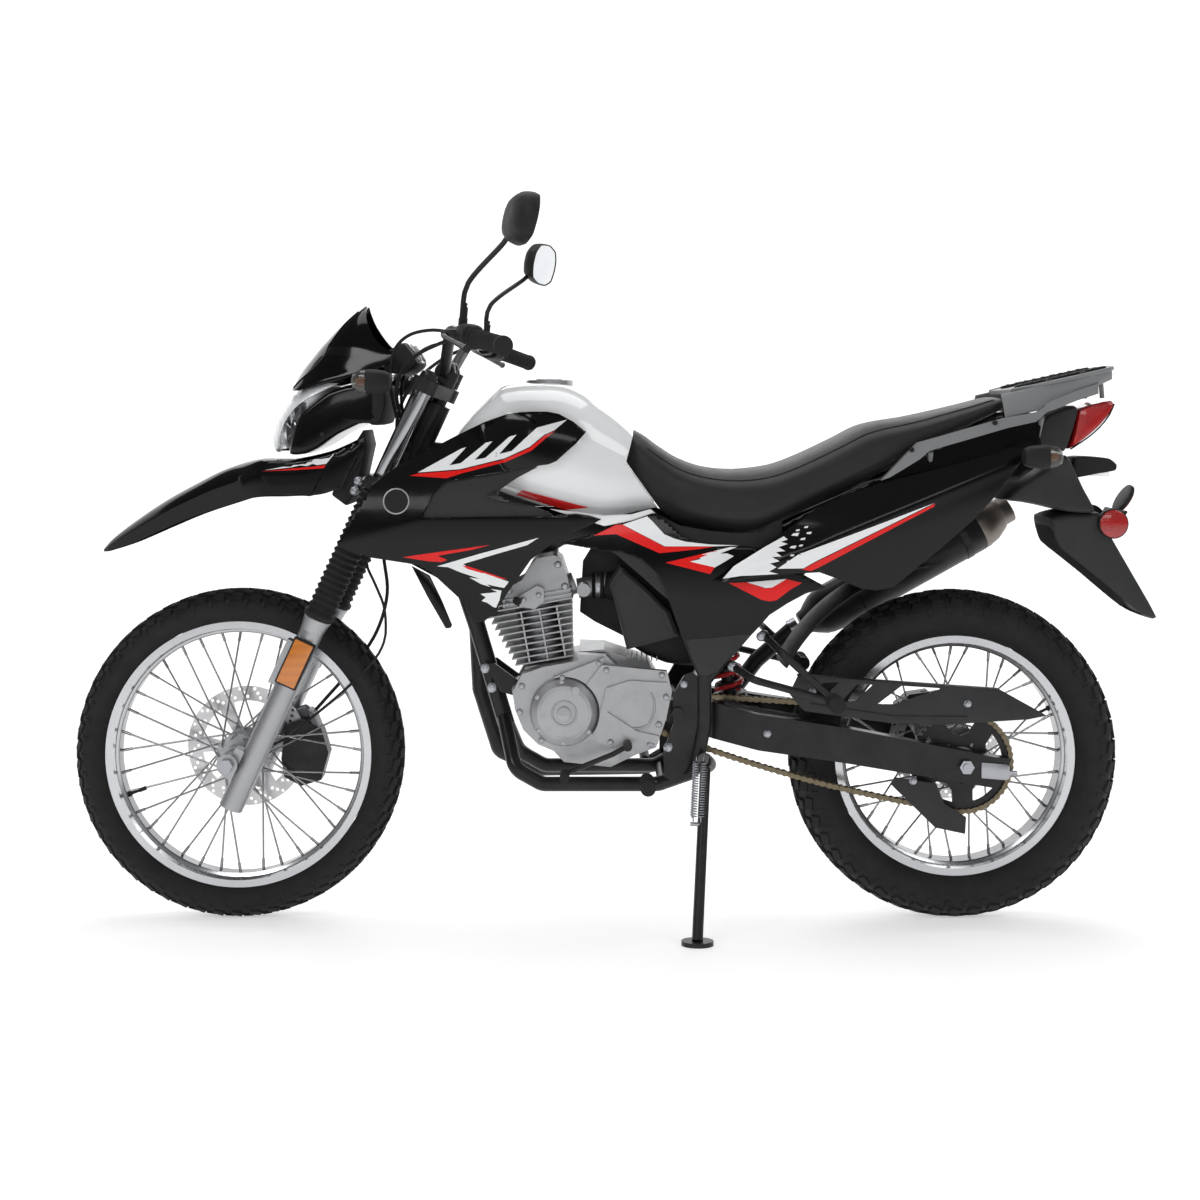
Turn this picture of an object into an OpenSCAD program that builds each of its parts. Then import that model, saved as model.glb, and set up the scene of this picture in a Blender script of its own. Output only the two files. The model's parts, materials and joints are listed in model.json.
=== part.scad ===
// Dual-sport motorcycle, parked on its side stand.
// Every module works in the upright machine's own frame: x rearwards, y to the right,
// z up from the ground, with x = 0 at the back of the tank. parked() leans it over.

/* [Stance] */
// Distance between the two axles
wheelbase = 1405; // [1330:5:1480]
// Lean to the left when parked, degrees
lean = 8; // [6:0.5:11]
// Angle of the steering axis from the vertical, degrees
rake = 24.7; // [22:0.1:28]
// How far the fork tubes sit ahead of the steering axis
fork_offset = 28; // [20:1:40]
// How far the front axle sits ahead of the fork tubes
axle_lead = 38; // [25:1:50]
// Length from the top clamp to the front axle, along the fork
fork_drop = 796; // [740:2:850]

/* [Wheels] */
// Radius of the front tyre
front_tyre_r = 323; // [310:1:340]
// Width of the front tyre
front_tyre_w = 92; // [80:1:100]
// Radius of the front rim's flange
front_rim_r = 261; // [245:1:275]
// Radius of the rear tyre
rear_tyre_r = 322; // [310:1:340]
// Width of the rear tyre
rear_tyre_w = 112; // [100:1:125]
// Radius of the rear rim's flange
rear_rim_r = 235; // [220:1:250]
// Spokes in each wheel
spokes = 36; // [24:4:40]
// Thickness of a spoke
spoke_d = 3.6; // [3:0.1:4.5]
// Radius of the front brake disc
front_disc_r = 120; // [100:1:135]
// Radius of the rear brake disc
rear_disc_r = 110; // [95:1:125]

/* [Fork] */
// Distance between the middles of the two fork tubes
fork_spread = 190; // [180:2:210]
// Diameter of a fork tube
fork_tube_d = 35; // [31:1:41]
// Diameter of a fork slider
slider_d = 46; // [42:1:52]
// Diameter of a rubber boot
boot_d = 57; // [50:1:64]

/* [Drive] */
// Teeth on the rear sprocket
rear_teeth = 47; // [41:1:52]
// Teeth on the engine sprocket
front_teeth = 15; // [13:1:17]
// Pitch of the chain
chain_pitch = 12.7; // [12.7:0.1:12.8]
// Distance of the chain from the middle of the machine
chain_y = 82; // [78:1:88]

/* [Frame] */
// Diameter of the frame's main tubes
frame_tube_d = 28; // [25:1:34]
// Diameter of the steering head tube
head_tube_d = 52; // [46:1:60]
// Distance between the middles of the two cradle rails
cradle_w = 150; // [130:2:180]

/* [Engine] */
// Width of the crankcase
case_w = 190; // [170:2:210]
// Number of cooling fins on the cylinder
fins = 9; // [6:1:12]
// Forward tilt of the cylinder, degrees
cylinder_tilt = 10; // [0:1:20]

/* [Bodywork] */
// Wall of the plastic panels
panel_t = 3; // [2:0.5:5]
// Half width of the tank at its widest
tank_half_w = 150; // [135:1:165]
// Half width of the shrouds at the front
shroud_half_w = 196; // [180:1:210]

/* [Stand] */
// Diameter of the side stand's leg
stand_leg_d = 20; // [16:1:25]
// Distance of the stand's pivot from the middle of the machine
stand_pivot_y = 128; // [115:1:140]

/* [Hidden] */
$fn = 48;
gap = 0.5;
stand_bolt_d = 12;
stand_hub_d = 30;
stand_hub_w = 16;
stand_nut_d = 22;
stand_pivot = [202, -stand_pivot_y, 331];
front_x = -710;
rear_x = front_x + wheelbase;
fork_x = -fork_offset;
axle_local = [-(fork_offset + axle_lead), 0, -fork_drop];
head_x = front_x + (fork_offset + axle_lead) * cos(rake) + fork_drop * sin(rake);
head_z = front_tyre_r - (fork_offset + axle_lead) * sin(rake) + fork_drop * cos(rake);
crown_share = 0.58;
rear_crown = (rear_tyre_r - rear_rim_r) * crown_share;
lift_z = norm([rear_tyre_w / 2 * sin(lean), rear_crown * cos(lean)]) - rear_crown * cos(lean);
rim_t = 3.2;
bead_drop = 12;
well_drop = 19;
rim_share = 0.62;
cross_angle = 6 * 360 / spokes;
front_flange = [34, 34];
rear_flange = [44, 53];
flange_t = 4;
axle_d = 15;
disc_y = 50.5;
rear_disc_y = 68.5;
bar_d = 22;
pivot_d = 14;
cap_d = 92;
generator = [-68, 422];
intake = [-44, 0, 646];
arm_t = 26;
arm_y = 94;
pivot = [148, 421];
origin_x = -31;
origin_y = 181;

// ---------- placing ----------

module parked() {
    translate([origin_x, origin_y, lift_z])
    rotate([lean, 0, 0])
    children();
}

// the steered parts' frame: origin on the steering axis at the top clamp, z up along it
module on_fork() {
    translate([head_x, 0, head_z])
    rotate([0, rake, 0])
    children();
}

module both_sides() {
    children();
    mirror([0, 1, 0]) children();
}

// turns a profile drawn in x and z into a plate between two y values
module plate(y0, y1) {
    translate([0, y1, 0])
    rotate([90, 0, 0])
    linear_extrude(y1 - y0)
    children();
}

// a disc or ring across the machine, centred on y
module across(x, z, y0, y1) {
    translate([x, y1, z])
    rotate([90, 0, 0])
    linear_extrude(y1 - y0)
    children();
}

// ---------- outlines ----------

function unit(v) = v / norm(v);

// a power that keeps the sign, for ovals squarer than an ellipse
function spow(v, e) = sign(v) * pow(abs(v), 2 / e);

function outline_area(p) =
    let (n = len(p)) [for (i = [0 : n - 1]) p[i].x * p[(i + 1) % n].y - p[(i + 1) % n].x * p[i].y]
    * [for (i = [0 : n - 1]) 0.5];

// the outline turned so that it runs anticlockwise
function ccw(p) = outline_area(p) > 0 ? p : [for (i = [len(p) - 1 : -1 : 0]) p[i]];

function middle_of(p) = [for (i = [0 : 1]) ([for (q = p) q[i]] * [for (q = p) 1]) / len(p)];

// ---------- tubes and lofts ----------

module rod(a, b, d) {
    v = b - a;
    translate(a)
    rotate([0, acos(v.z / norm(v)), atan2(v.y, v.x)])
    cylinder(h = norm(v), d = d);
}

// half the inside angle at corner i of a path
function half_corner(p, i) =
    acos(unit(p[i - 1] - p[i]) * unit(p[i + 1] - p[i])) / 2;

// how far a bend of radius r eats into the straights at corner i
function bend_cut(p, i, r) =
    (i == 0 || i == len(p) - 1) ? 0 : r / tan(half_corner(p, i));

// a round tube along a path of points, with a bend of radius r at each corner; the bends are
// drawn out a hair thicker than the straights, which end inside them
module bent_tube(p, d, r) {
    seat = 2;
    for (i = [0 : len(p) - 2]) {
        u = unit(p[i + 1] - p[i]);
        a = i == 0 ? 0 : bend_cut(p, i, r) - seat;
        b = i == len(p) - 2 ? 0 : bend_cut(p, i + 1, r) - seat;
        rod(p[i] + u * a, p[i + 1] - u * b, d);
    }
    for (i = [1 : 1 : len(p) - 2]) {
        a = unit(p[i - 1] - p[i]);
        b = unit(p[i + 1] - p[i]);
        h = half_corner(p, i);
        c = p[i] + unit(a + b) * r / sin(h);
        x = unit(p[i] + a * bend_cut(p, i, r) - c);
        y = -a;
        z = cross(x, y);
        multmatrix([[x.x, y.x, z.x, c.x], [x.y, y.y, z.y, c.y], [x.z, y.z, z.z, c.z], [0, 0, 0, 1]])
        rotate_extrude(angle = 180 - 2 * h)
        translate([r, 0])
        circle(d = d + 0.4);
    }
}

// a closed skin through rings of points that all have the same number of points
module loft(rings) {
    n = len(rings[0]);
    m = len(rings);
    polyhedron(
        points = [for (ring = rings) each ring],
        faces = concat(
            [[for (i = [0 : n - 1]) i]],
            [[for (i = [n - 1 : -1 : 0]) (m - 1) * n + i]],
            [for (j = [0 : m - 2], i = [0 : n - 1], k = [0, 1])
                let (a = j * n + i, b = a + n, c = (j + 1) * n + (i + 1) % n, d = c - n)
                k == 0 ? [a, b, c] : [a, c, d]]),
        convexity = 6);
}

// an oval ring across the machine at x: half width w, from z0 to z1, squareness e
function oval(x, w, z0, z1, n = 20, e = 2.6) =
    [for (i = [0 : n - 1])
        let (a = 360 * i / n)
        [x, w * spow(cos(a), e), (z0 + z1) / 2 + (z1 - z0) / 2 * spow(sin(a), e)]];

// a thin arch across the machine at x, from its edges at z0 up to its crown at z1
function arch(x, w, z0, z1, t, n = 12, e = 2.4) = concat(
    [for (i = [0 : n])
        let (a = 180 * i / n)
        [x, w * spow(cos(a), e), z0 + (z1 - z0) * spow(sin(a), e)]],
    [for (i = [n : -1 : 0])
        let (a = 180 * i / n)
        [x, (w - t) * spow(cos(a), e), z0 + (z1 - z0 - t) * spow(sin(a), e)]]);

// a thin curved screen at height z, from its sides at x_s round its front at x_f
function visor(z, x_f, x_s, w, t, n = 12, e = 2.2) = concat(
    [for (i = [0 : n])
        let (a = 90 + 180 * i / n)
        [x_s + (x_s - x_f) * spow(cos(a), e), w * spow(sin(a), e), z]],
    [for (i = [n : -1 : 0])
        let (a = 90 + 180 * i / n)
        [x_s + (x_s - x_f - t) * spow(cos(a), e), (w - t) * spow(sin(a), e), z]]);

// a side outline carried across the machine, drawn in towards its middle at both sides
module pillow(outline, half_w, edge = 0.8, steps = 3) {
    p = ccw(outline);
    c = middle_of(p);
    loft([for (j = [steps : -1 : -steps])
        let (a = 90 * j / steps, k = 1 - (1 - edge) * (1 - cos(a)))
        [for (q = p) [c.x + (q.x - c.x) * k, half_w * sin(a), c.y + (q.y - c.y) * k]]]);
}

// a panel's skin: y out from the middle at each x and z, with its wall inside
module skin(x0, x1, z0, z1, nx, nz, y_out, t) {
    xs = [for (i = [0 : nx]) x0 + (x1 - x0) * i / nx];
    zs = [for (j = [0 : nz]) z0 + (z1 - z0) * j / nz];
    outer = [for (x = xs, z = zs) [x, -y_out(x, z), z]];
    inner = [for (x = xs, z = zs) [x, -y_out(x, z) + t, z]];
    w = nz + 1;
    k = (nx + 1) * w;
    polyhedron(
        points = concat(outer, inner),
        faces = concat(
            [for (i = [0 : nx - 1], j = [0 : nz - 1])
                [i * w + j, i * w + j + 1, (i + 1) * w + j + 1, (i + 1) * w + j]],
            [for (i = [0 : nx - 1], j = [0 : nz - 1])
                [k + i * w + j, k + (i + 1) * w + j, k + (i + 1) * w + j + 1, k + i * w + j + 1]],
            [for (i = [0 : nx - 1]) [i * w, (i + 1) * w, k + (i + 1) * w, k + i * w]],
            [for (i = [0 : nx - 1])
                [i * w + nz, k + i * w + nz, k + (i + 1) * w + nz, (i + 1) * w + nz]],
            [for (j = [0 : nz - 1]) [j, k + j, k + j + 1, j + 1]],
            [for (j = [0 : nz - 1])
                [nx * w + j, nx * w + j + 1, k + nx * w + j + 1, k + nx * w + j]]),
        convexity = 8);
}

// ---------- wheels ----------

// spins a section drawn as [across, outwards] round an axle at x and z
module wheel_of(x, z) {
    translate([x, 0, z])
    rotate([90, 0, 0])
    rotate_extrude($fn = 96)
    rotate(-90)
    children();
}

// the tyre's wall from bead to bead, round the outside and back round the air space
module tyre_section(r, w, rim_r, rim_w) {
    crown = (r - rim_r) * crown_share;
    mid_r = r - crown;
    bead = rim_w / 2 - rim_t - 1 - gap;
    polygon(concat(
        [[-bead, rim_r - bead_drop + gap], [-bead, rim_r + 1], [-rim_w / 2 - 1.5, rim_r + 3]],
        [for (a = [200 : -10 : -20]) [w / 2 * cos(a), mid_r + crown * sin(a)]],
        [[rim_w / 2 + 1.5, rim_r + 3], [bead, rim_r + 1], [bead, rim_r - bead_drop + gap],
            [bead - 9, rim_r - bead_drop + gap], [bead - 8, rim_r + 5]],
        [for (a = [-10 : 20 : 190]) [(w / 2 - 8) * cos(a), mid_r + (crown - 9) * sin(a)]],
        [[8 - bead, rim_r + 5], [9 - bead, rim_r - bead_drop + gap]]));
}

module rim_section(r, w) {
    h = w / 2;
    polygon([[-h, r], [rim_t - h, r], [rim_t + 1 - h, r - bead_drop], [15 - h, r - bead_drop - 1],
        [19 - h, r - well_drop], [h - 19, r - well_drop], [h - 15, r - bead_drop - 1],
        [h - rim_t - 1, r - bead_drop], [h - rim_t, r], [h, r], [h, r - bead_drop - 2],
        [h - 13, r - bead_drop - 5], [h - 17, r - well_drop - rim_t - 1],
        [17 - h, r - well_drop - rim_t - 1], [13 - h, r - bead_drop - 5], [-h, r - bead_drop - 2]]);
}

// where spoke i leaves its flange: [side, lay, angle at the rim, angle at the flange]
function spoke_lay(i) =
    let (side = i % 2 == 0 ? 1 : -1, lay = floor(i / 2) % 2 == 0 ? 1 : -1, a = 360 * i / spokes)
    [side, lay, a, a + lay * cross_angle];

// how far beside its flange a spoke starts: the ones laid outside clear the flange as they lean in
function spoke_beside(lay) = lay > 0 ? flange_t / 2 + spoke_d + 2.5 : -flange_t / 2 - spoke_d / 2 - gap;

// crossed spokes from beside each hub flange out to the rim, each with its nipple
module spoke_set(x, z, flange, rim_r) {
    translate([x, 0, z])
    for (i = [0 : spokes - 1]) {
        s = spoke_lay(i);
        y = s[0] * (flange[0] + spoke_beside(s[1]));
        from = [flange[1] * cos(s[3]), y, flange[1] * sin(s[3])];
        to = [rim_r * cos(s[2]), s[0] * 6, rim_r * sin(s[2])];
        rod(from + unit(to - from) * (spoke_d + gap), to, spoke_d, $fn = 16);
        rod(to - unit(to - from) * 22, to, spoke_d + 2, $fn = 16);
    }
}

// a hub: barrel, two drilled flanges with a spoke's head in each hole, and a through bore
module hub_body(x, z, y0, y1, barrel_r, flange, bore_d) {
    difference() {
        union() {
            across(x, z, y0, y1) circle(r = barrel_r);
            for (s = [-1, 1])
                across(x, z, s * flange[0] - flange_t / 2, s * flange[0] + flange_t / 2)
                circle(r = flange[1] + 7);
            for (s = [-1, 1], lay = [-1, 1])
                let (y_a = s * flange[0], y_b = s * (flange[0] + spoke_beside(lay) + lay * spoke_d / 2))
                across(x, z, min(y_a, y_b), max(y_a, y_b))
                for (i = [0 : spokes - 1])
                    if (spoke_lay(i)[0] == s && spoke_lay(i)[1] == lay)
                        rotate(spoke_lay(i)[3]) translate([flange[1], 0]) circle(d = spoke_d, $fn = 16);
        }
        across(x, z, y0 - 1, y1 + 1) circle(d = bore_d);
    }
}

module front_tyre() {
    color("#1b1b1c")
    parked()
    wheel_of(front_x, front_tyre_r)
    tyre_section(front_tyre_r, front_tyre_w, front_rim_r, front_tyre_w * rim_share);
}

module front_rim() {
    color("#c9ccd0")
    parked() {
        wheel_of(front_x, front_tyre_r)
        rim_section(front_rim_r, front_tyre_w * rim_share);
        spoke_set(front_x, front_tyre_r, front_flange, front_rim_r - well_drop - 1);
    }
}

module front_hub() {
    color("#8d9094")
    parked() {
        difference() {
            union() {
                hub_body(front_x, front_tyre_r, -48, 48, 22, front_flange, axle_d + 1);
                across(front_x, front_tyre_r, 38, disc_y - 2) circle(r = 28);
                across(front_x, front_tyre_r, 47, disc_y + 4) circle(r = 19.5);
            }
            across(front_x, front_tyre_r, 0, disc_y + 5) circle(d = axle_d + 1);
        }
    }
}

// a brake disc: a hub ring, arms, and a band drilled in slanting rows
module disc_plate(x, z, y, r, bore_r, arms) {
    band = r - 26;
    across(x, z, y - 1.9, y + 1.9)
    difference() {
        circle(r = r, $fn = 96);
        circle(r = bore_r);
        for (i = [0 : arms - 1])
            rotate(360 * i / arms)
            polygon(concat(
                [for (a = [8 : 8 : 360 / arms - 8]) (band - 3) * [cos(a), sin(a)]],
                [for (a = [360 / arms - 14 : -8 : 14]) (bore_r + 12) * [cos(a + 6), sin(a + 6)]]));
        for (i = [0 : 23], k = [0 : 2])
            rotate(15 * i + 4 * k) translate([band + 5 + 8 * k, 0]) circle(d = 6.5, $fn = 16);
    }
}

module front_disc() {
    color("#b9bcc0")
    parked()
    disc_plate(front_x, front_tyre_r, disc_y, front_disc_r, 20, 6);
}

module rear_tyre() {
    color("#1b1b1c")
    parked()
    wheel_of(rear_x, rear_tyre_r)
    tyre_section(rear_tyre_r, rear_tyre_w, rear_rim_r, rear_tyre_w * rim_share);
}

module rear_rim() {
    color("#c9ccd0")
    parked() {
        wheel_of(rear_x, rear_tyre_r)
        rim_section(rear_rim_r, rear_tyre_w * rim_share);
        spoke_set(rear_x, rear_tyre_r, rear_flange, rear_rim_r - well_drop - 1);
    }
}

module rear_hub() {
    color("#8d9094")
    parked()
    difference() {
        union() {
            hub_body(rear_x, rear_tyre_r, -60, 60, 36, rear_flange, axle_d + 1);
            across(rear_x, rear_tyre_r, 3.2 - chain_y, -50) circle(r = 44);
            across(rear_x, rear_tyre_r, -chain_y - 8, -50) circle(r = 29.6);
            across(rear_x, rear_tyre_r, 50, rear_disc_y - 2) circle(r = 38);
            across(rear_x, rear_tyre_r, 50, rear_disc_y + 5) circle(r = 25);
        }
        across(rear_x, rear_tyre_r, -chain_y - 9, rear_disc_y + 6) circle(d = axle_d + 1);
    }
}

module rear_disc() {
    color("#b9bcc0")
    parked()
    disc_plate(rear_x, rear_tyre_r, rear_disc_y, rear_disc_r, 25.5, 5);
}

function pitch_r(teeth) = chain_pitch / (2 * sin(180 / teeth));

module sprocket_outline(teeth) {
    r = pitch_r(teeth);
    polygon([for (i = [0 : teeth - 1], k = [0 : 3])
        let (a = 360 * (i + [0.12, 0.38, 0.62, 0.88][k]) / teeth,
            q = r + [-4.2, 3.2, 3.2, -4.2][k])
        [q * cos(a), q * sin(a)]]);
}

module rear_sprocket() {
    color("#8f9ba3")
    parked()
    across(rear_x, rear_tyre_r, -chain_y - 3, -chain_y + 3)
    difference() {
        sprocket_outline(rear_teeth);
        circle(r = 30);
        for (i = [0 : 4])
            rotate(72 * i + 20)
            polygon(concat([for (a = [-22 : 11 : 22]) 80 * [cos(a), sin(a)]],
                [[56, 16], [50, 0], [56, -16]]));
        for (i = [0 : 4]) rotate(72 * i + 56) translate([38, 0]) circle(d = 8.5, $fn = 16);
    }
}

// ---------- frame ----------

function fork_point(x, z) =
    [head_x + x * cos(rake) + z * sin(rake), 0, head_z - x * sin(rake) + z * cos(rake)];

module head_tube() {
    on_fork()
    translate([0, 0, -178])
    difference() {
        cylinder(h = 170, d = head_tube_d);
        translate([0, 0, -1]) cylinder(h = 172, d = 36);
    }
}

// the bolt through the frame's plates and the swingarm
module pivot_bolt() {
    across(pivot.x, pivot.y, -upright_y - 13, upright_y + 13) circle(d = pivot_d);
    both_sides() across(pivot.x, pivot.y, -upright_y - 13, -upright_y - 5 - gap) circle(d = 26, $fn = 6);
}

upright_y = chain_y + 10 + frame_tube_d / 2;
rail_y = cradle_w / 2;

module frame() {
    color("#232426")
    parked() {
        pivot_bolt();
        difference() {
            union() {
                head_tube();
                rod(fork_point(20, -104), [44, 0, 868], 44);
                bent_tube([fork_point(12, -120), [-244, 0, 572], [-186, 0, 378]], 34, 300);
                both_sides() {
                    bent_tube([[-190, -8, 392], [-164, -rail_y, 306], [-112, -rail_y, 277], [112, -rail_y, 277],
                        [182, -upright_y, 310], [199, -upright_y, 400], [199, -upright_y, 520], [146, -72, 742]],
                        frame_tube_d, 34);
                    bent_tube([[24, -14, 862], [118, -68, 744], [300, -76, 732], [560, -72, 846],
                        [800, -66, 912]], 24, 50);
                    bent_tube([[199, -upright_y, 478], [330, -92, 640], [540, -73, 834]], 22, 60);
                    plate(-upright_y - 5, -upright_y + 3)
                    difference() {
                        polygon([[139, 398], [139, 456], [160, 492], [199, 512], [199, 402], [178, 306], [140, 290],
                            [122, 300], [122, 350]]);
                        translate(pivot) circle(d = pivot_d + gap);
                    }
                    plate(-36, -30)
                    difference() {
                        polygon([[-224, 502], [-206, 503], [-156, 466], [-150, 448], [-162, 438], [-196, 448]]);
                        translate([-163, 452]) circle(d = 10.4);
                    }
                }
                rod([560, -72, 846], [560, 72, 846], 20);
                rod([770, -66, 905], [770, 66, 905], 20);
                rod([146, -72, 742], [146, 72, 742], 24);
                rod([122, -rail_y, 277], [122, rail_y, 277], 22);
                rod([184, -upright_y + 2, 322], stand_pivot - stand_axis * 13, 24);
                along_stand_axis() translate([0, 0, -16]) cylinder(h = 16 - gap, d = stand_hub_d);
                along_stand_axis() translate([0, 0, -2]) cylinder(h = stand_hub_w + 4, d = stand_bolt_d);
                along_stand_axis()
                translate([0, 0, stand_hub_w + gap])
                cylinder(h = 7, d = stand_nut_d, $fn = 6);
            }
            on_fork() translate([0, 0, -240]) cylinder(h = 260, d = 36);
        }
    }
}

// the arm's box section at x: [inner y, lowest z, highest z]
arm_root = 61;
arm_sections = [
    [128, arm_root, 400, 442],
    [216, arm_root + 1, 368, 438],
    [300, arm_y, 352, 420],
    [465, arm_y, 328, 395],
    [rear_x + 57, arm_y, 280, 339],
    [rear_x + 73, arm_y, 278, 336]];

module swingarm() {
    color("#1f2022")
    parked() {
        both_sides()
        difference() {
            loft([for (s = arm_sections)
                let (cut = s[0] > rear_x + 65 ? 14 : 0)
                [[s[0] - cut, -s[1], s[2]], [s[0] + cut, -s[1], s[3]],
                    [s[0] + cut, -s[1] - arm_t, s[3]], [s[0] - cut, -s[1] - arm_t, s[2]]]]);
            across(rear_x, rear_tyre_r, -arm_y - arm_t - 1, 1 - arm_y) circle(d = axle_d + 1);
            across(pivot.x, pivot.y, -arm_root - arm_t - 1, 1 - arm_root) circle(d = pivot_d + gap);
        }
        across(pivot.x, pivot.y, -arm_root - 2, arm_root + 2)
        difference() {
            circle(r = 21);
            circle(d = pivot_d + gap);
        }
        rod([312, -98, 378], [312, 98, 378], 42);
        both_sides()
        plate(-31, -25)
        difference() {
            polygon([[300, 356], [318, 396], [262, 412], [250, 402], [252, 388]]);
            translate([264, 400]) circle(d = 12.5);
        }
    }
}

module rear_axle() {
    color("#b9bcc0")
    parked() {
        across(rear_x, rear_tyre_r, -arm_y - arm_t - 14, arm_y + arm_t + 14) circle(d = axle_d);
        both_sides() across(rear_x, rear_tyre_r, -arm_y - arm_t - 11, -arm_y - arm_t - gap) circle(d = 28, $fn = 6);
        across(rear_x, rear_tyre_r, 0.3 - arm_y, -chain_y - 8.5)
        difference() {
            circle(d = 30);
            circle(d = axle_d + gap);
        }
        across(rear_x, rear_tyre_r, rear_disc_y + 5.5, arm_y - 0.3)
        difference() {
            circle(d = 30);
            circle(d = axle_d + gap);
        }
    }
}

// ---------- tank and seat ----------

tank_half = [[-280, 50], [-270, 66], [-240, 98], [-196, 130], [-135, tank_half_w], [-71, tank_half_w],
    [-28, tank_half_w - 7], [36, tank_half_w - 26], [80, tank_half_w - 40], [124, tank_half_w - 50]];
tank_top = [[-280, 955], [-270, 968], [-238, 1005], [-196, 1043], [-170, 1050], [-135, 1053], [-71, 1051],
    [-28, 1035], [0, 1014], [36, 987], [67, 959], [124, 884]];
tank_foot = [[-280, 900], [-240, 862], [-194, 838], [-100, 806], [6, 779], [70, 786], [124, 800]];
tank_stations = [-280, -270, -255, -238, -218, -196, -165, -135, -100, -71, -45, -20, 10, 36, 52, 67, 90, 124];
tank_e = 2.7;

// half width of the tank at x and z
function tank_y(x, z) =
    let (lo = lookup(x, tank_foot), hi = lookup(x, tank_top),
        t = min(1, abs((z - (lo + hi) / 2) / ((hi - lo) / 2))))
    lookup(x, tank_half) * pow(1 - pow(t, tank_e), 1 / tank_e);

cap_x = -100;
cap_z = 1049;
neck_d = 44;

// the line where the seat's nose lies against the tank
seat_line = [[67, 1000], [66, 960], [49, 898], [115, 806], [163, 777]];

module fuel_tank() {
    color("#f2f3f4")
    parked()
    difference() {
        loft([for (x = tank_stations)
            oval(x, lookup(x, tank_half), lookup(x, tank_foot), lookup(x, tank_top), 28, tank_e)]);
        plate(-32, 32) polygon([[-300, 700], [-300, 952], [-100, 914], [130, 900], [130, 700]]);
        plate(-86, 86) polygon([[-130, 700], [-90, 868], [130, 884], [130, 700]]);
        plate(-200, 200) polygon(concat(seat_line, [[200, 760], [200, 1000]]));
        translate([cap_x, 0, cap_z - 40]) cylinder(h = 60, d = neck_d);
        translate([cap_x, 0, cap_z - 3]) cylinder(h = 20, d = cap_d + 3);
    }
}

module fuel_cap() {
    color("#b9bcc0")
    parked()
    translate([cap_x, 0, cap_z - 3 + gap]) {
        difference() {
            cylinder(h = 11, d = cap_d);
            for (i = [0 : 2]) rotate(120 * i + 30) translate([cap_d * 0.4, 0, 8]) cylinder(h = 4, d = 6, $fn = 16);
        }
        translate([0, 0, -14]) cylinder(h = 15, d = neck_d - 1);
        translate([0, 0, 10]) cylinder(h = 3.5, d1 = cap_d * 0.62, d2 = cap_d * 0.56);
    }
}

seat_rings = [
    [44, 60, 850, 972],
    [67, 84, 830, 960],
    [88, 94, 806, 948],
    [112, 102, 792, 930],
    [150, 114, 772, 906],
    [200, 126, 764, 888],
    [255, 132, 758, 882],
    [301, 134, 759, 885],
    [341, 133, 776, 892],
    [390, 128, 799, 910],
    [462, 124, 834, 944],
    [517, 121, 860, 971],
    [610, 115, 908, 988],
    [712, 103, 964, 1011],
    [765, 90, 990, 1024],
    [784, 76, 1000, 1022]];

module seat() {
    color("#1d1d1f")
    parked()
    intersection() {
        loft([for (r = seat_rings) oval(r[0], r[1], r[2], r[3], 24, 3.4)]);
        translate([1.5, 0, 0])
        plate(-200, 200)
        polygon(concat(seat_line, [[276, 755], [900, 755], [900, 1100], [67, 1100]]));
    }
}

// ---------- panels ----------

// the shroud flares forward of the tank and lies on it behind
function shroud_y(x, z) = max(
    tank_y(x, z) + panel_t + 9.5,
    shroud_half_w - 0.09 * (x + 470) - 14 * pow((z - 760) / 100, 2) * (z > 760 ? 0.62 : 1));

shroud_outline = [
    [-488, 747], [-425, 860], [-366, 901], [-267, 953], [-176, 992], [-128, 995], [-78, 992], [-26, 958],
    [-82, 903], [-115, 895], [-191, 843], [-87, 799], [-46, 804], [2, 793],
    [-87, 750], [-130, 717], [-202, 611], [-236, 594], [-306, 684], [-353, 711], [-427, 724]];
insert_outline = [[-332, 797], [-315, 849], [-278, 862], [-118, 891], [-207, 838], [-110, 803]];

module tank_shrouds() {
    color("#151516")
    parked()
    both_sides() {
        difference() {
            intersection() {
                plate(-240, -40) polygon(shroud_outline);
                skin(-495, 10, 585, 1005, 12, 12, function(x, z) shroud_y(x, z), panel_t);
            }
            plate(-240, -40) polygon(insert_outline);
        }
        intersection() {
            plate(-240, -40) offset(delta = -1) polygon(insert_outline);
            skin(-340, -100, 790, 900, 5, 4, function(x, z) shroud_y(x, z) - 7, panel_t);
        }
        plate(-168, -164)
        polygon([[-350, 700], [-318, 690], [-277, 594], [-287, 591], [-318, 640]]);
    }
}

function side_y(x, z) = 150 - 12 * pow((x - 150) / 200, 2) - 14 * pow((z - 680) / 150, 2);

side_outline = [
    [-75, 747], [20, 776], [103, 804], [130, 786], [187, 745], [284, 741], [430, 663], [355, 634], [297, 586],
    [219, 500], [187, 491], [155, 569], [122, 663], [75, 719], [6, 734]];

module side_covers() {
    color("#151516")
    parked()
    both_sides()
    intersection() {
        plate(-240, -40) polygon(side_outline);
        skin(-90, 440, 485, 815, 9, 8, function(x, z) side_y(x, z), panel_t);
    }
}

function tail_y(x, z) = 163 - 0.06 * (x - 300) - 16 * pow((z - (590 + 0.36 * x)) / 90, 2);

tail_outline = [
    [214, 676], [263, 713], [415, 820], [526, 860], [690, 901], [821, 939], [754, 843], [655, 745],
    [558, 661], [494, 661], [412, 696], [300, 688]];

module tail_covers() {
    color("#151516")
    parked()
    both_sides()
    intersection() {
        plate(-240, -40) polygon(tail_outline);
        skin(205, 830, 650, 955, 10, 8, function(x, z) tail_y(x, z), panel_t);
    }
}

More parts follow.
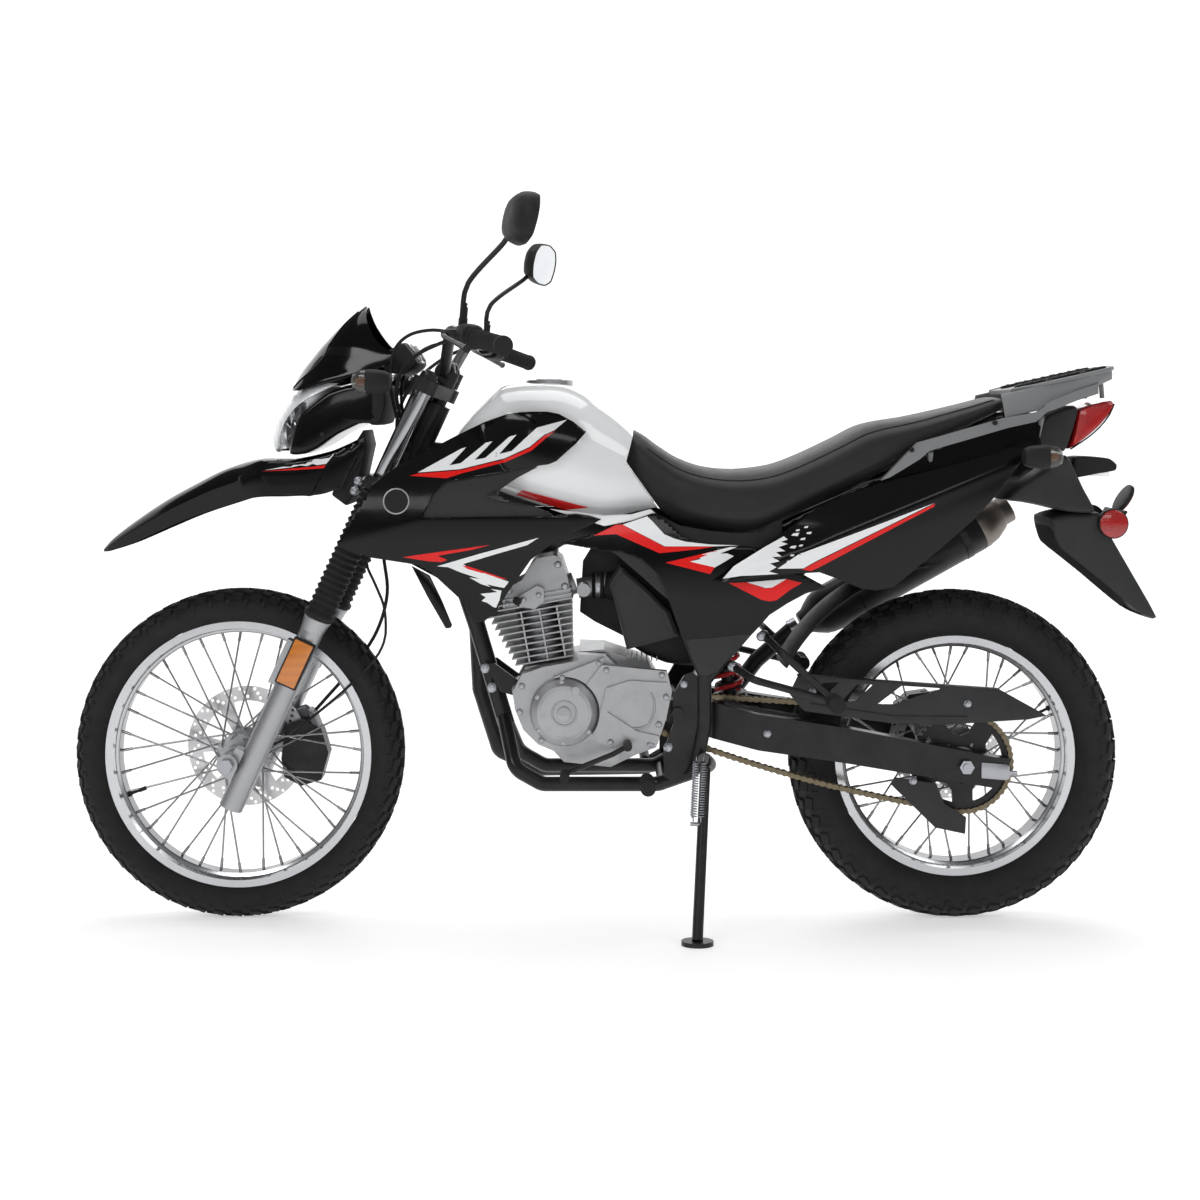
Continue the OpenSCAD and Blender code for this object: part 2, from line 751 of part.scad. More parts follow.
module airbox() {
    color("#2b2c2e")
    parked()
    both_sides()
    loft([for (s = [[-122, 0.84], [-116, 0.97], [-100, 1], [-62, 1]])
        let (p = ccw([[17, 668], [38, 702], [84, 664], [136, 612], [153, 567], [51, 541], [36, 600]]), c = middle_of(p))
        [for (i = [len(p) - 1 : -1 : 0]) [c.x + (p[i].x - c.x) * s[1], s[0], c.y + (p[i].y - c.y) * s[1]]]]);
}

// ---------- tail ----------

rack_tilt = 12.5;
rack_holes = 4;
rack_hole_r = 62;
rack_hole_d = 8.5;
rack_t = 8;

// the rack plate's own frame: u runs rearwards up the slope, its top face at zero
module on_rack() {
    translate([792, 0, 1038])
    rotate([0, -rack_tilt, 0])
    children();
}

module luggage_rack() {
    color("#8f9194")
    parked() {
        both_sides() {
            plate(-138, -122)
            polygon([[531, 866], [600, 937], [615, 941], [765, 984], [827, 995], [845, 1008], [845, 996],
                [824, 977], [770, 965], [622, 922], [604, 906], [548, 872]]);
            loft([for (s = [[840, -138, -122, 994, 1009], [862, -136, -116, 1001, 1019], [905, -126, -104, 1017, 1036],
                [950, -112, -92, 1030, 1050]])
                [[s[0], s[1], s[3]], [s[0], s[2], s[3]], [s[0], s[2], s[4]], [s[0], s[1], s[4]]]]);
            rod([627, -126, 920], [630, -100, 884], 10);
            rod([838, -126, 985], [842, -70, 930], 10);
        }
        on_rack()
        translate([0, 0, -rack_t])
        linear_extrude(rack_t)
        difference() {
            polygon(concat([[0, -78], [60, -112], [150, -112]],
                [for (a = [-72 : 18 : 72]) [150 + 62 * cos(a), 112 * sin(a)]],
                [[150, 112], [60, 112], [0, 78]]));
            for (y = [-84, 0, 84]) translate([104, y]) square([96, 26], center = true);
            for (i = [0 : rack_holes - 1])
                translate([104, 0]) rotate(360 * (i + 0.5) / rack_holes) translate([rack_hole_r, 0])
                circle(d = rack_hole_d);
        }
        both_sides() rod([975, -50, 1062], [978, -50, 1022], 9);
    }
}

module rear_fender() {
    color("#18181a")
    parked() {
        pillow([[846, 935], [863, 985], [920, 1009], [926, 998], [902, 918]], 72, 0.86);
        pillow([[779, 824], [829, 868], [900, 912], [930, 851], [958, 801], [909, 801], [850, 818]], 86, 0.9);
        pillow([[909, 801], [958, 801], [973, 799], [995, 750], [1033, 684], [1085, 593], [1053, 599],
            [970, 668], [886, 736], [873, 790]], 66, 0.94);
        plate(-26, 26) polygon([[930, 868], [932, 905], [1000, 903], [1016, 891], [1013, 881]]);
        translate([1004, 0, 770])
        rotate([0, 31, 0])
        difference() {
            translate([-3, -60, -52]) cube([5, 120, 90]);
            for (s = [-1, 1]) translate([-10, s * 36, 12]) rotate([0, 90, 0]) cylinder(h = 30, d = 7);
        }
    }
}

module tail_light() {
    color("#8c1016")
    parked()
    pillow([[929, 1001], [990, 1018], [997, 1011], [986, 989], [943, 945], [912, 925]], 70, 0.88);
}

// an indicator: stalk and a lamp shaped like a bullet
module signal(at, out, tilt = 0) {
    translate(at) {
        rod([0, 0, 0], [6, out * 66, 0], 13);
        translate([0, out * 86, 0])
        rotate([0, tilt, 0])
        rotate([0, 90, 0])
        rotate_extrude()
        polygon([[0, -38], [13, -36], [20, -22], [23, 0], [23, 22], [20, 34], [0, 38]]);
    }
}

module rear_signals() {
    color("#1d1d1f")
    parked()
    for (out = [-1, 1]) signal([822, out * 98, 912], out);
}

// ---------- engine ----------

module crankcase() {
    color("#a7a9ab")
    parked() {
        plate(-60, 60)
        polygon([[-146, 500], [-146, 436], [-128, 386], [-104, 352], [-70, 316], [20, 306], [70, 330], [104, 356],
            [116, 392], [116, 470], [96, 505], [8, 534], [-41, 530], [-42, 518], [-110, 506]]);
        plate(-24, 24) polygon([[-140, 474], [-170, 466], [-176, 450], [-168, 438], [-140, 430]]);
        both_sides()
        plate(-case_w / 2, -60)
        polygon([[-110, 506], [-150, 492], [-168, 458], [-163, 425], [-147, 386], [-119, 358], [-47, 328], [-1, 322],
            [36, 328], [40, 380], [40, 500], [12, 528], [-41, 530], [-42, 518]]);
        across(chain_a.x, chain_a.y, -chain_y - 3, -chain_y + 3) sprocket_outline(front_teeth);
        across(chain_a.x, chain_a.y, -chain_y - 8, -60) circle(r = 14);
        plate(60, case_w / 2) polygon([[40, 500], [96, 480], [104, 420], [88, 372], [40, 352]]);
    }
}

module engine_covers() {
    color("#b3b5b7")
    parked() {
        translate([generator.x, -case_w / 2 - gap, generator.y])
        rotate([90, 0, 0])
        rotate_extrude()
        polygon([[0, 0], [66, 0], [66, 6], [63, 12], [52, 22], [45, 24], [25, 24], [24, 26], [22, 26], [21, 24],
            [4, 24], [3, 27], [0, 27]]);
        plate(-case_w / 2 - 17, -case_w / 2 - gap)
        difference() {
            polygon([[3, 513], [128, 501], [137, 462], [126, 410], [107, 356], [62, 340], [-6, 366], [-40, 420],
                [-30, 470]]);
            translate(generator) circle(r = 67.5);
        }
        plate(-case_w / 2 - 22, -case_w / 2 - 16)
        difference() {
            polygon([[12, 470], [56, 484], [128, 480], [130, 462], [56, 462], [14, 424], [70, 388], [114, 378],
                [110, 364], [56, 374], [0, 420]]);
            translate(generator) circle(r = 69);
        }
        plate(-case_w / 2 - 12, -case_w / 2 - gap)
        difference() {
            polygon([[-90, 488], [8, 526], [1, 500], [-8, 456]]);
            translate(generator) circle(r = 67.5);
        }
        translate([generator.x + 6, case_w / 2 + gap, generator.y - 4])
        rotate([-90, 0, 0])
        rotate_extrude()
        polygon([[0, 0], [80, 0], [80, 8], [74, 24], [60, 32], [26, 34], [0, 34]]);
        plate(case_w / 2 + gap, case_w / 2 + 22)
        difference() {
            polygon([[20, 480], [84, 470], [98, 430], [86, 384], [40, 360], [0, 350], [-20, 380]]);
            translate([generator.x + 6, generator.y - 4]) circle(r = 81.5);
        }
    }
}

cyl_base = [-107, 508];
fin_pitch = 12.4;

// the cylinder's own frame: u along the fins, w up the bore
module on_cylinder() {
    translate([cyl_base.x, 0, cyl_base.y])
    rotate([0, -cylinder_tilt, 0])
    children();
}

module cylinder_barrel() {
    color("#9b9da0")
    parked()
    on_cylinder() {
        translate([2, 0, 1]) cylinder(h = fins * fin_pitch, d = 88);
        for (i = [0 : fins - 1])
            let (w = 5 + i * fin_pitch, front = 55 + 0.36 * w, back = 55 + 0.16 * w)
            translate([-front, -68, w]) cube([front + back, 136, 2.6]);
        for (u = [-30, 6, 40]) translate([u, -66, 4]) cube([3, 132, fins * fin_pitch - 8]);
    }
}

head_base = fins * fin_pitch + 3;

module cylinder_head() {
    color("#8e9093")
    parked()
    on_cylinder() {
        plate(-62, 62)
        polygon([[-62, head_base], [-60, 136], [-40, 158], [-16, 166], [6, 192], [20, 203], [54, 203], [66, 190],
            [72, 150], [74, head_base]]);
        for (i = [0 : 2]) translate([-72, -68, head_base + i * 9]) cube([148, 136, 2.6]);
        plate(-76, -61)
        polygon([[-26, 138], [12, 152], [24, 144], [20, 120], [0, 108], [-28, 118]]);
        rod([-58, 22, head_base + 26], [-76, 26, head_base + 24], 38);
        rod([70, 0, head_base + 20], [82, 0, head_base + 22], 44);
    }
}

module throttle_body() {
    color("#55585b")
    parked() {
        rod(intake, intake + [34, 0, 6], 40);
        rod(intake + [12, -20, 2], intake + [12, -52, 2], 26);
        rod(intake + [33, 0, 6], intake + [72, 0, 8], 50);
    }
}

// the header's route from the head, round the downtube, under the right side to the muffler
exhaust_route = [[-220, 29, 628], [-250, 54, 604], [-244, 86, 430], [-206, 112, 300], [-124, 124, 260],
    [96, 130, 262], [212, 152, 330], [326, 156, 476], [399, 152, 541]];

module exhaust_pipe() {
    color("#5a5c5f")
    parked()
    bent_tube(exhaust_route, 33, 24);
}

module muffler() {
    color("#1c1c1e")
    parked()
    translate([402, 152, 543])
    rotate([0, 61.2, 3.2])
    difference() {
        rotate_extrude()
        polygon([[0, 0], [22, 0], [24, 20], [44, 60], [50, 90], [52, 440], [46, 470], [34, 496], [30, 520],
            [24, 521], [24, 480], [0, 480]]);
        translate([0, 0, -1]) cylinder(h = 20, d = 34);
    }
}

module rear_shock() {
    color("#a61d1f")
    parked() {
        rod([264, 0, 400], [216, 0, 700], 26);
        coil_spring([257.6, 0, 440], [222.4, 0, 660], 27, 9, 7);
        across(264, 400, -24, 24)
        difference() {
            circle(r = 17);
            circle(d = 12.5);
        }
        across(216, 700, -24, 24) circle(r = 16);
        rod([259.5, 0, 428], [258, 0, 440], 66);
        rod([222.4, 0, 660], [220.8, 0, 670], 66);
    }
}

// a spring drawn as rings that lie on the slant between two points
module coil_spring(a, b, r, wire, turns) {
    v = b - a;
    translate(a)
    rotate([0, acos(v.z / norm(v)), atan2(v.y, v.x)])
    for (i = [0 : turns - 1])
        translate([0, 0, norm(v) * (i + 0.5) / turns])
        rotate_extrude()
        translate([r - 6, 0])
        circle(d = wire * 1.6, $fn = 16);
}

module chain_guard() {
    color("#151516")
    parked() {
        plate(-arm_y - arm_t + 4, -chain_y - 12.5)
        difference() {
            polygon([[377, 494], [760, 467], [850, 417], [815, 410], [658, 400], [560, 402], [388, 426], [360, 459]]);
            polygon([[424, 478], [452, 480], [424, 452], [400, 450]]);
            polygon([[490, 476], [520, 477], [486, 446], [460, 444]]);
            polygon([[574, 473], [650, 468], [560, 440], [530, 440]]);
        }
        plate(-arm_y - arm_t + 4, -chain_y - 12.5)
        polygon([[560, 300], [640, 288], [655, 250], [697, 224], [695, 192], [638, 204], [556, 284]]);
    }
}

// ---------- chain ----------

// the path of the chain's pins: both sprockets and the two straight runs
chain_a = [85, 425];
chain_b = [rear_x, rear_tyre_r];
chain_v = chain_b - chain_a;
chain_lean = atan2(chain_v.y, chain_v.x);
chain_wrap = asin((pitch_r(rear_teeth) - pitch_r(front_teeth)) / norm(chain_v));
chain_run = sqrt(pow(norm(chain_v), 2) - pow(pitch_r(rear_teeth) - pitch_r(front_teeth), 2));
chain_front = pitch_r(front_teeth) * (180 - 2 * chain_wrap) * PI / 180;
chain_rear = pitch_r(rear_teeth) * (180 + 2 * chain_wrap) * PI / 180;
chain_length = 2 * chain_run + chain_front + chain_rear;
links = 2 * round(chain_length / chain_pitch / 2);
chain_sag = 18;

function turn(a) = [cos(a), sin(a)];

// the point at distance s along the chain, moved out by h
function chain_point(s, h) =
    let (up = chain_lean + 90 + chain_wrap, down = chain_lean - 90 - chain_wrap,
        s1 = chain_run, s2 = s1 + chain_rear, s3 = s2 + chain_run)
    s < s1 ? chain_a + turn(up) * (pitch_r(front_teeth) + h) + turn(up - 90) * s
    : s < s2 ? chain_b + turn(up - (s - s1) / pitch_r(rear_teeth) * 180 / PI) * (pitch_r(rear_teeth) + h)
    : s < s3 ? let (k = (s - s2) / chain_run)
        chain_b + turn(down) * (pitch_r(rear_teeth) + h) + turn(down - 90) * (s - s2)
        + [0, -chain_sag * 4 * k * (1 - k)]
    : chain_a + turn(down - (s - s3) / pitch_r(front_teeth) * 180 / PI) * (pitch_r(front_teeth) + h);

// the waisted edge of the link plates, out from the pin line by plate_h at the pins
plate_h = 5.6;
function chain_edge(side) =
    [for (i = [0 : links - 1], k = [0, 1])
        chain_point(chain_length * (i + 0.25 + k / 2) / links,
            side * (plate_h - 2 * k))];

module drive_chain() {
    color("#5c4c33")
    parked()
    for (y = [-chain_y - 8.4, -chain_y + 3.6])
        plate(y, y + 4.8)
        difference() {
            polygon(chain_edge(1));
            polygon(chain_edge(-1));
        }
}

module rear_brake() {
    color("#3a3b3d")
    parked()
    difference() {
        plate(56, arm_y - 1)
        polygon([[rear_x - 98, 366], [rear_x - 96, 402], [rear_x - 70, 424], [rear_x - 30, 430], [rear_x - 18, 400],
            [rear_x - 40, 372], [rear_x - 60, 362]]);
        across(rear_x, rear_tyre_r, rear_disc_y - 4.5, rear_disc_y + 4.5) circle(r = rear_disc_r + 5);
    }
}

// ---------- foot parts ----------

module foot_pegs() {
    color("#1d1d1f")
    parked()
    both_sides() {
        rod([92, -rail_y - frame_tube_d / 2 - 1, 284], [88, -150, 304], 20);
        rod([88, -148, 304], [88, -224, 306], 25);
        bent_tube([[252, -upright_y - frame_tube_d / 2, 512], [286, -186, 498], [432, -204, 461]], 14, 24);
        bent_tube([[313, -112, 569], [340, -186, 546], [428, -204, 466]], 14, 24);
        rod([430, -196, 462], [430, -252, 464], 28);
        rod([313, -104, 569], [313, -122, 569], 20);
        rod([252, -upright_y - 2, 512], [252, -upright_y - 20, 512], 20);
    }
}

// the gear lever and the brake pedal stand clear of the engine's covers
lever_y = case_w / 2 + 33;
pedal_y = case_w / 2 + 63;

module foot_controls() {
    color("#2a2b2d")
    parked() {
        bent_tube([[52, -lever_y, 362], [24, -lever_y - 6, 348], [-65, -lever_y - 24, 316]], 10, 20);
        rod([52, -lever_y + 13, 362], [52, -lever_y - 6, 362], 18);
        rod([-66, -lever_y - 20, 316], [-66, -lever_y - 62, 316], 15);
        bent_tube([[66, pedal_y, 322], [20, pedal_y, 300], [-85, pedal_y - 2, 304]], 11, 20);
        rod([-86, pedal_y - 6, 304], [-86, pedal_y + 36, 304], 17);
    }
}

// ---------- steered parts ----------

module fork() {
    color("#2a2b2d")
    parked()
    on_fork() {
        both_sides() translate([fork_x, -fork_spread / 2, -460]) cylinder(h = 496, d = fork_tube_d);
        translate([0, 0, -190]) cylinder(h = 206, d = 30);
        for (z = [-206, 4])
            translate([0, 0, z])
            linear_extrude(26)
            polygon(concat(
                [for (a = [-45 : 15 : 45]) 29 * turn(a)],
                [for (a = [30 : 20 : 150]) [fork_x, fork_spread / 2] + 29 * turn(a)],
                [[fork_x - 22, 40], [fork_x - 22, -40]],
                [for (a = [210 : 20 : 330]) [fork_x, -fork_spread / 2] + 29 * turn(a)]));
    }
}

module fork_boots() {
    color("#161617")
    parked()
    on_fork()
    both_sides()
    translate([fork_x, -fork_spread / 2, -464])
    rotate_extrude()
    polygon(concat([[fork_tube_d / 2 + gap, 0]],
        [for (i = [0 : 40]) [boot_d / 2 - (i % 2 == 0 ? 0 : 4.5), 1 + i * 6.3]],
        [[fork_tube_d / 2 + gap, 254]]));
}

module fork_sliders() {
    color("#b8babd")
    parked()
    on_fork()
    both_sides()
    translate([fork_x, -fork_spread / 2, -872])
    difference() {
        union() {
            cylinder(h = 380, d = slider_d);
            translate([0, 0, 372]) cylinder(h = 24, d1 = slider_d, d2 = boot_d - 3);
            translate([0, 0, 396]) cylinder(h = 11, d = boot_d - 3);
            translate([-axle_lead, 0, 76]) rotate([90, 0, 0]) cylinder(h = 44, d = 40, center = true);
            translate([-axle_lead, -12, 50]) cube([axle_lead, 24, 60]);
            translate([-slider_d / 2 - 12, -11, 250]) cube([16, 22, 90]);
        }
        translate([0, 0, 380]) cylinder(h = 60, d = fork_tube_d + gap);
        translate([-axle_lead, 0, 76]) rotate([90, 0, 0]) cylinder(h = 60, d = axle_d + 0.3, center = true);
    }
}

module front_axle() {
    color("#b9bcc0")
    parked() {
        across(front_x, front_tyre_r, -121, 121) circle(d = axle_d);
        both_sides() across(front_x, front_tyre_r, -128, -117.5) circle(d = 27, $fn = 6);
        both_sides() across(front_x, front_tyre_r, -72.5, -56)
        difference() {
            circle(d = 26);
            circle(d = axle_d + gap);
        }
    }
}

bar_path = [[-302, -60, 1072], [-276, -205, 1145], [-163, -440, 1107]];

module bar_tube(d) {
    bent_tube([bar_path[2], bar_path[1], bar_path[0], [-302, 60, 1072], [-276, 205, 1145], [-163, 440, 1107]],
        d, 45);
}

module handlebar() {
    color("#1b1b1c")
    parked() {
        bar_tube(bar_d);
        for (s = [-1, 1]) {
            on_fork() translate([4, s * 42, 30 + gap]) cylinder(h = 32, d = 30);
            rod([-302, s * 42 - 14, 1072], [-302, s * 42 + 14, 1072], 40);
        }
    }
}

// a point on the left grip's stretch of bar, t from the bend to the end
function on_bar(t) = bar_path[1] + (bar_path[2] - bar_path[1]) * t;

module hand_controls() {
    color("#161617")
    parked()
    both_sides()
    difference() {
        union() {
            rod(on_bar(0.49), on_bar(1.01), 33);
            rod(on_bar(0.475), on_bar(0.5), 40);
            rod(on_bar(0.33), on_bar(0.46), 42);
            rod(on_bar(0.24), on_bar(0.31), 34);
            rod(on_bar(0.27), on_bar(0.27) + [-32, -2, 2], 22);
            bent_tube([on_bar(0.27) + [-30, 2, 2], on_bar(0.4) + [-46, -4, 0], on_bar(0.98) + [-58, -8, -6]], 11, 24);
        }
        bar_tube(bar_d + gap);
    }
}

mirror_at = [-137, -400, 1328];

module mirrors() {
    color("#161617")
    parked()
    both_sides() {
        rod(on_bar(0.275) + [-2, 0, 18], on_bar(0.275) + [1, -1, 46], 17);
        bent_tube([on_bar(0.275) + [-2, 0, 34], on_bar(0.275) + [8, -2, 92], [-168, -352, 1290], [-146, -386, 1312]],
            10, 24);
        translate(mirror_at)
        rotate([0, 12, 18])
        loft([for (s = [[-22, 0.42], [-18, 0.7], [-8, 0.92], [4, 1], [12, 0.99], [14, 0.94]])
            [for (j = [0 : 19])
                let (a = 18 * j)
                [s[0], 72 * s[1] * spow(cos(a), 2.5), 47 * s[1] * spow(sin(a), 2.5)]]]);
    }
}

module instrument_cluster() {
    color("#1b1b1c")
    parked()
    pillow([[-428, 1096], [-378, 1128], [-352, 1086], [-380, 1070], [-412, 1074]], 74, 0.88);
}

module headlight() {
    color("#1b1b1c")
    parked()
    pillow([[-598, 914], [-565, 917], [-526, 942], [-473, 974], [-422, 1003], [-420, 1046], [-486, 1050],
        [-520, 1040], [-560, 1012], [-590, 970]], 98, 0.93);
}

module headlight_lens() {
    color("#dfe5ea")
    parked()
    loft([for (s = [[918, -640, -622, 44], [930, -645, -622, 58], [950, -643, -618, 74], [984, -630, -600, 88],
        [1010, -615, -574, 95], [1032, -598, -538, 96], [1052, -584, -500, 94]])
        visor(s[0], s[1], s[2], s[3], 4)]);
}

module cowl() {
    color("#101011")
    parked()
    loft([for (s = [[1038, -606, -556, 99], [1056, -600, -500, 104], [1077, -588, -424, 106], [1103, -568, -392, 102],
        [1126, -549, -424, 88], [1165, -512, -452, 62], [1190, -482, -458, 36], [1204, -464, -458, 14]])
        visor(s[0], s[1], s[2], s[3], panel_t)]);
}

// the beak: arches from its tip back to the fork
fender_stations = [
    [-982, 6, 719, 725],
    [-965, 20, 721, 744],
    [-920, 36, 736, 779],
    [-859, 50, 763, 820],
    [-798, 60, 789, 854],
    [-739, 67, 809, 883],
    [-669, 71, 829, 903],
    [-598, 72, 832, 902],
    [-530, 70, 838, 915],
    [-490, 68, 862, 930],
    [-460, 64, 912, 946]];

module front_fender() {
    color("#101011")
    parked()
    loft([for (s = fender_stations) arch(s[0], s[1], s[2], s[3], min(panel_t, s[1] / 2))]);
}

module front_signals() {
    color("#1d1d1f")
    parked()
    for (out = [-1, 1]) signal([-424, out * 102, 1052], out);
}

module front_brake() {
    color("#4a4c4f")
    parked()
    difference() {
        plate(38, 74)
        polygon([for (p = [[76, -61], [70, -23], [78, 43], [110, 55], [150, 37], [165, -13], [150, -67], [110, -79]])
            [front_x, front_tyre_r] + p]);
        across(front_x, front_tyre_r, disc_y - 4.5, disc_y + 4.5) circle(r = front_disc_r + 4);
    }
}

// ---------- side stand ----------

// the stand turns about a bolt that is square to the leg both down and folded
stand_down = unit([-25, -137.3, -294.3]);
stand_up = unit([307, -108, -7]);
stand_axis = unit(cross(stand_down, stand_up));

module along_stand_axis() {
    translate(stand_pivot)
    rotate([0, acos(stand_axis.z), atan2(stand_axis.y, stand_axis.x)])
    children();
}

module side_stand() {
    foot = stand_pivot + stand_axis * stand_hub_w / 2 + stand_down * 320;
    color("#1d1d1f")
    parked()
    difference() {
        union() {
            along_stand_axis() cylinder(h = stand_hub_w, d = stand_hub_d);
            rod(stand_pivot + stand_axis * stand_hub_w / 2 + stand_down * 10, foot, stand_leg_d);
        }
        along_stand_axis() translate([0, 0, -1]) cylinder(h = stand_hub_w + 2, d = stand_bolt_d + gap);
        along_stand_axis() translate([0, 0, -20]) cylinder(h = 20, d = stand_hub_d + 4);
        along_stand_axis() translate([0, 0, stand_hub_w]) cylinder(h = 20, d = stand_nut_d + 4);
    }
    color("#1d1d1f")
    translate([origin_x + foot.x, origin_y + foot.y * cos(lean) - foot.z * sin(lean), 0])
    cylinder(h = 8, d = 58);
}

frame();
swingarm();
rear_axle();
fuel_tank();
fuel_cap();
seat();
tank_shrouds();
side_covers();
tail_covers();
airbox();
crankcase();
engine_covers();
cylinder_barrel();
cylinder_head();
throttle_body();
exhaust_pipe();
muffler();
rear_shock();
chain_guard();
drive_chain();
rear_fender();
tail_light();
rear_signals();
luggage_rack();
foot_pegs();
foot_controls();
rear_brake();
fork();
fork_boots();
fork_sliders();
front_axle();
handlebar();
hand_controls();
mirrors();
instrument_cluster();
headlight();
headlight_lens();
cowl();
front_fender();
front_signals();
front_brake();
front_tyre();
front_rim();
front_hub();
front_disc();
rear_tyre();
rear_rim();
rear_hub();
rear_sprocket();
rear_disc();
side_stand();
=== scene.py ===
import json
import math
from contextlib import contextmanager

import bpy
from mathutils import Matrix, Vector

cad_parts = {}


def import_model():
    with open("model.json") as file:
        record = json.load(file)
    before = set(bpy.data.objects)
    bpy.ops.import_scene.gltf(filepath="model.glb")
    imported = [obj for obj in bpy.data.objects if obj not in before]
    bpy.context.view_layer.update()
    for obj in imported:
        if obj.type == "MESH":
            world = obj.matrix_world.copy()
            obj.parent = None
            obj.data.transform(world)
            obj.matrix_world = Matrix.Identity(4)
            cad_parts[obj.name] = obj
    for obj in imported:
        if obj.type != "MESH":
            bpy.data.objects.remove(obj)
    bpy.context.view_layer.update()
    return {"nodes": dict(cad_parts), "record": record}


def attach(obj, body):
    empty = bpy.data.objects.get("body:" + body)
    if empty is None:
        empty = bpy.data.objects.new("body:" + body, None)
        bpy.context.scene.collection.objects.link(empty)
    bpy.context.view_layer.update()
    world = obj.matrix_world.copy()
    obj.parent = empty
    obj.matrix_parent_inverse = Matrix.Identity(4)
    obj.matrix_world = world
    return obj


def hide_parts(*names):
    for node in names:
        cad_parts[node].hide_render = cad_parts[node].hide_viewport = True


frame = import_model()


# ---------- sizes of the machine, in millimetres, standing upright ----------

MM = 0.001
LEAN = math.radians(8)
RAKE = math.radians(24.7)
# each tyre: its radius, its width and the radius of the rim that it sits on
FRONT_TYRE = (323, 92, 261)
REAR_TYRE = (322, 112, 235)
CROWN_SHARE = 0.58
CROWN_RISE = (REAR_TYRE[0] - REAR_TYRE[2]) * CROWN_SHARE * math.cos(LEAN)
LIFT = math.hypot(REAR_TYRE[1] / 2 * math.sin(LEAN), CROWN_RISE) - CROWN_RISE
FRONT_AXLE = (-710, 323)
REAR_AXLE = (695, 322)
FORK_HEAD = (-317.416, 1018.593)
LEG_Y = 95

# upright machine in mm -> the frame's own place, leaning on its stand, in metres
PARKED = (
    Matrix.Translation((-31 * MM, 181 * MM, LIFT * MM))
    @ Matrix.Rotation(LEAN, 4, "X")
    @ Matrix.Scale(MM, 4)
)
ON_FORK = Matrix.Translation((FORK_HEAD[0], 0, FORK_HEAD[1])) @ Matrix.Rotation(RAKE, 4, "Y")


def world(x, y, z):
    return PARKED @ Vector((x, y, z))


# ---------- camera, floor and light ----------

EYE_BACK = 2900
EYE_HEIGHT = 999
VIEW_WIDTH = 2378.4
VIEW_DROP = 0.158333


def make_camera():
    data = bpy.data.cameras.new("camera")
    data.sensor_fit = "HORIZONTAL"
    data.sensor_width = 36.0
    data.lens = data.sensor_width * EYE_BACK / VIEW_WIDTH
    data.shift_y = -VIEW_DROP
    data.clip_end = 60
    cam = bpy.data.objects.new("camera", data)
    bpy.context.scene.collection.objects.link(cam)
    upright = Matrix.Translation((0, -EYE_BACK, EYE_HEIGHT)) @ Matrix.Rotation(math.pi / 2, 4, "X")
    placed = PARKED @ upright
    turn = placed.to_3x3().normalized().to_4x4()
    cam.matrix_world = Matrix.Translation(placed.translation) @ turn
    bpy.context.scene.camera = cam


def area_light(name, place, aim, size, power):
    data = bpy.data.lights.new(name, "AREA")
    data.shape = "RECTANGLE"
    data.size, data.size_y = size
    data.energy = power
    lamp = bpy.data.objects.new(name, data)
    lamp.location = place
    lamp.rotation_euler = (Vector(aim) - Vector(place)).to_track_quat("-Z", "Y").to_euler()
    bpy.context.scene.collection.objects.link(lamp)


make_camera()
area_light("key_light", (-2.3, -3.6, 3.1), (-0.1, 0, 0.7), (2.4, 1.2), 62)
area_light("fill_light", (2.9, -2.6, 2.5), (0.3, 0, 0.6), (1.2, 2.0), 26)
area_light("top_light", (0, 0.5, 4.6), (0, 0.1, 0.3), (4.6, 2.6), 100)
area_light("low_light", (0.2, -4.4, 0.9), (0, 0, 0.45), (3.6, 0.4), 15)
area_light("far_light", (0.6, 3.2, 3.0), (0, 0, 0.6), (3.6, 1.2), 30)

sky = bpy.data.worlds.new("studio")
sky.use_nodes = True
background = sky.node_tree.nodes["Background"].inputs
background["Color"].default_value = (1, 1, 1, 1)
background["Strength"].default_value = 0.07
bpy.context.scene.world = sky
bpy.context.scene.view_settings.view_transform = "Standard"


# ---------- shader maths ----------

class Wire:
    """A socket in a material, so that sums on it are written as sums."""

    def __init__(self, kit, socket):
        self.kit = kit
        self.socket = socket

    def math(self, operation, *others):
        return self.kit.node("ShaderNodeMath", {"operation": operation}, [self, *others])

    def __add__(self, other):
        return self.math("ADD", other)

    __radd__ = __add__

    def __sub__(self, other):
        return self.math("SUBTRACT", other)

    def __rsub__(self, other):
        return self.kit.node("ShaderNodeMath", {"operation": "SUBTRACT"}, [other, self])

    def __mul__(self, other):
        return self.math("MULTIPLY", other)

    __rmul__ = __mul__

    def __pow__(self, other):
        return self.math("POWER", other)

    def clamp(self):
        return self.kit.node("ShaderNodeClamp", {}, [self])


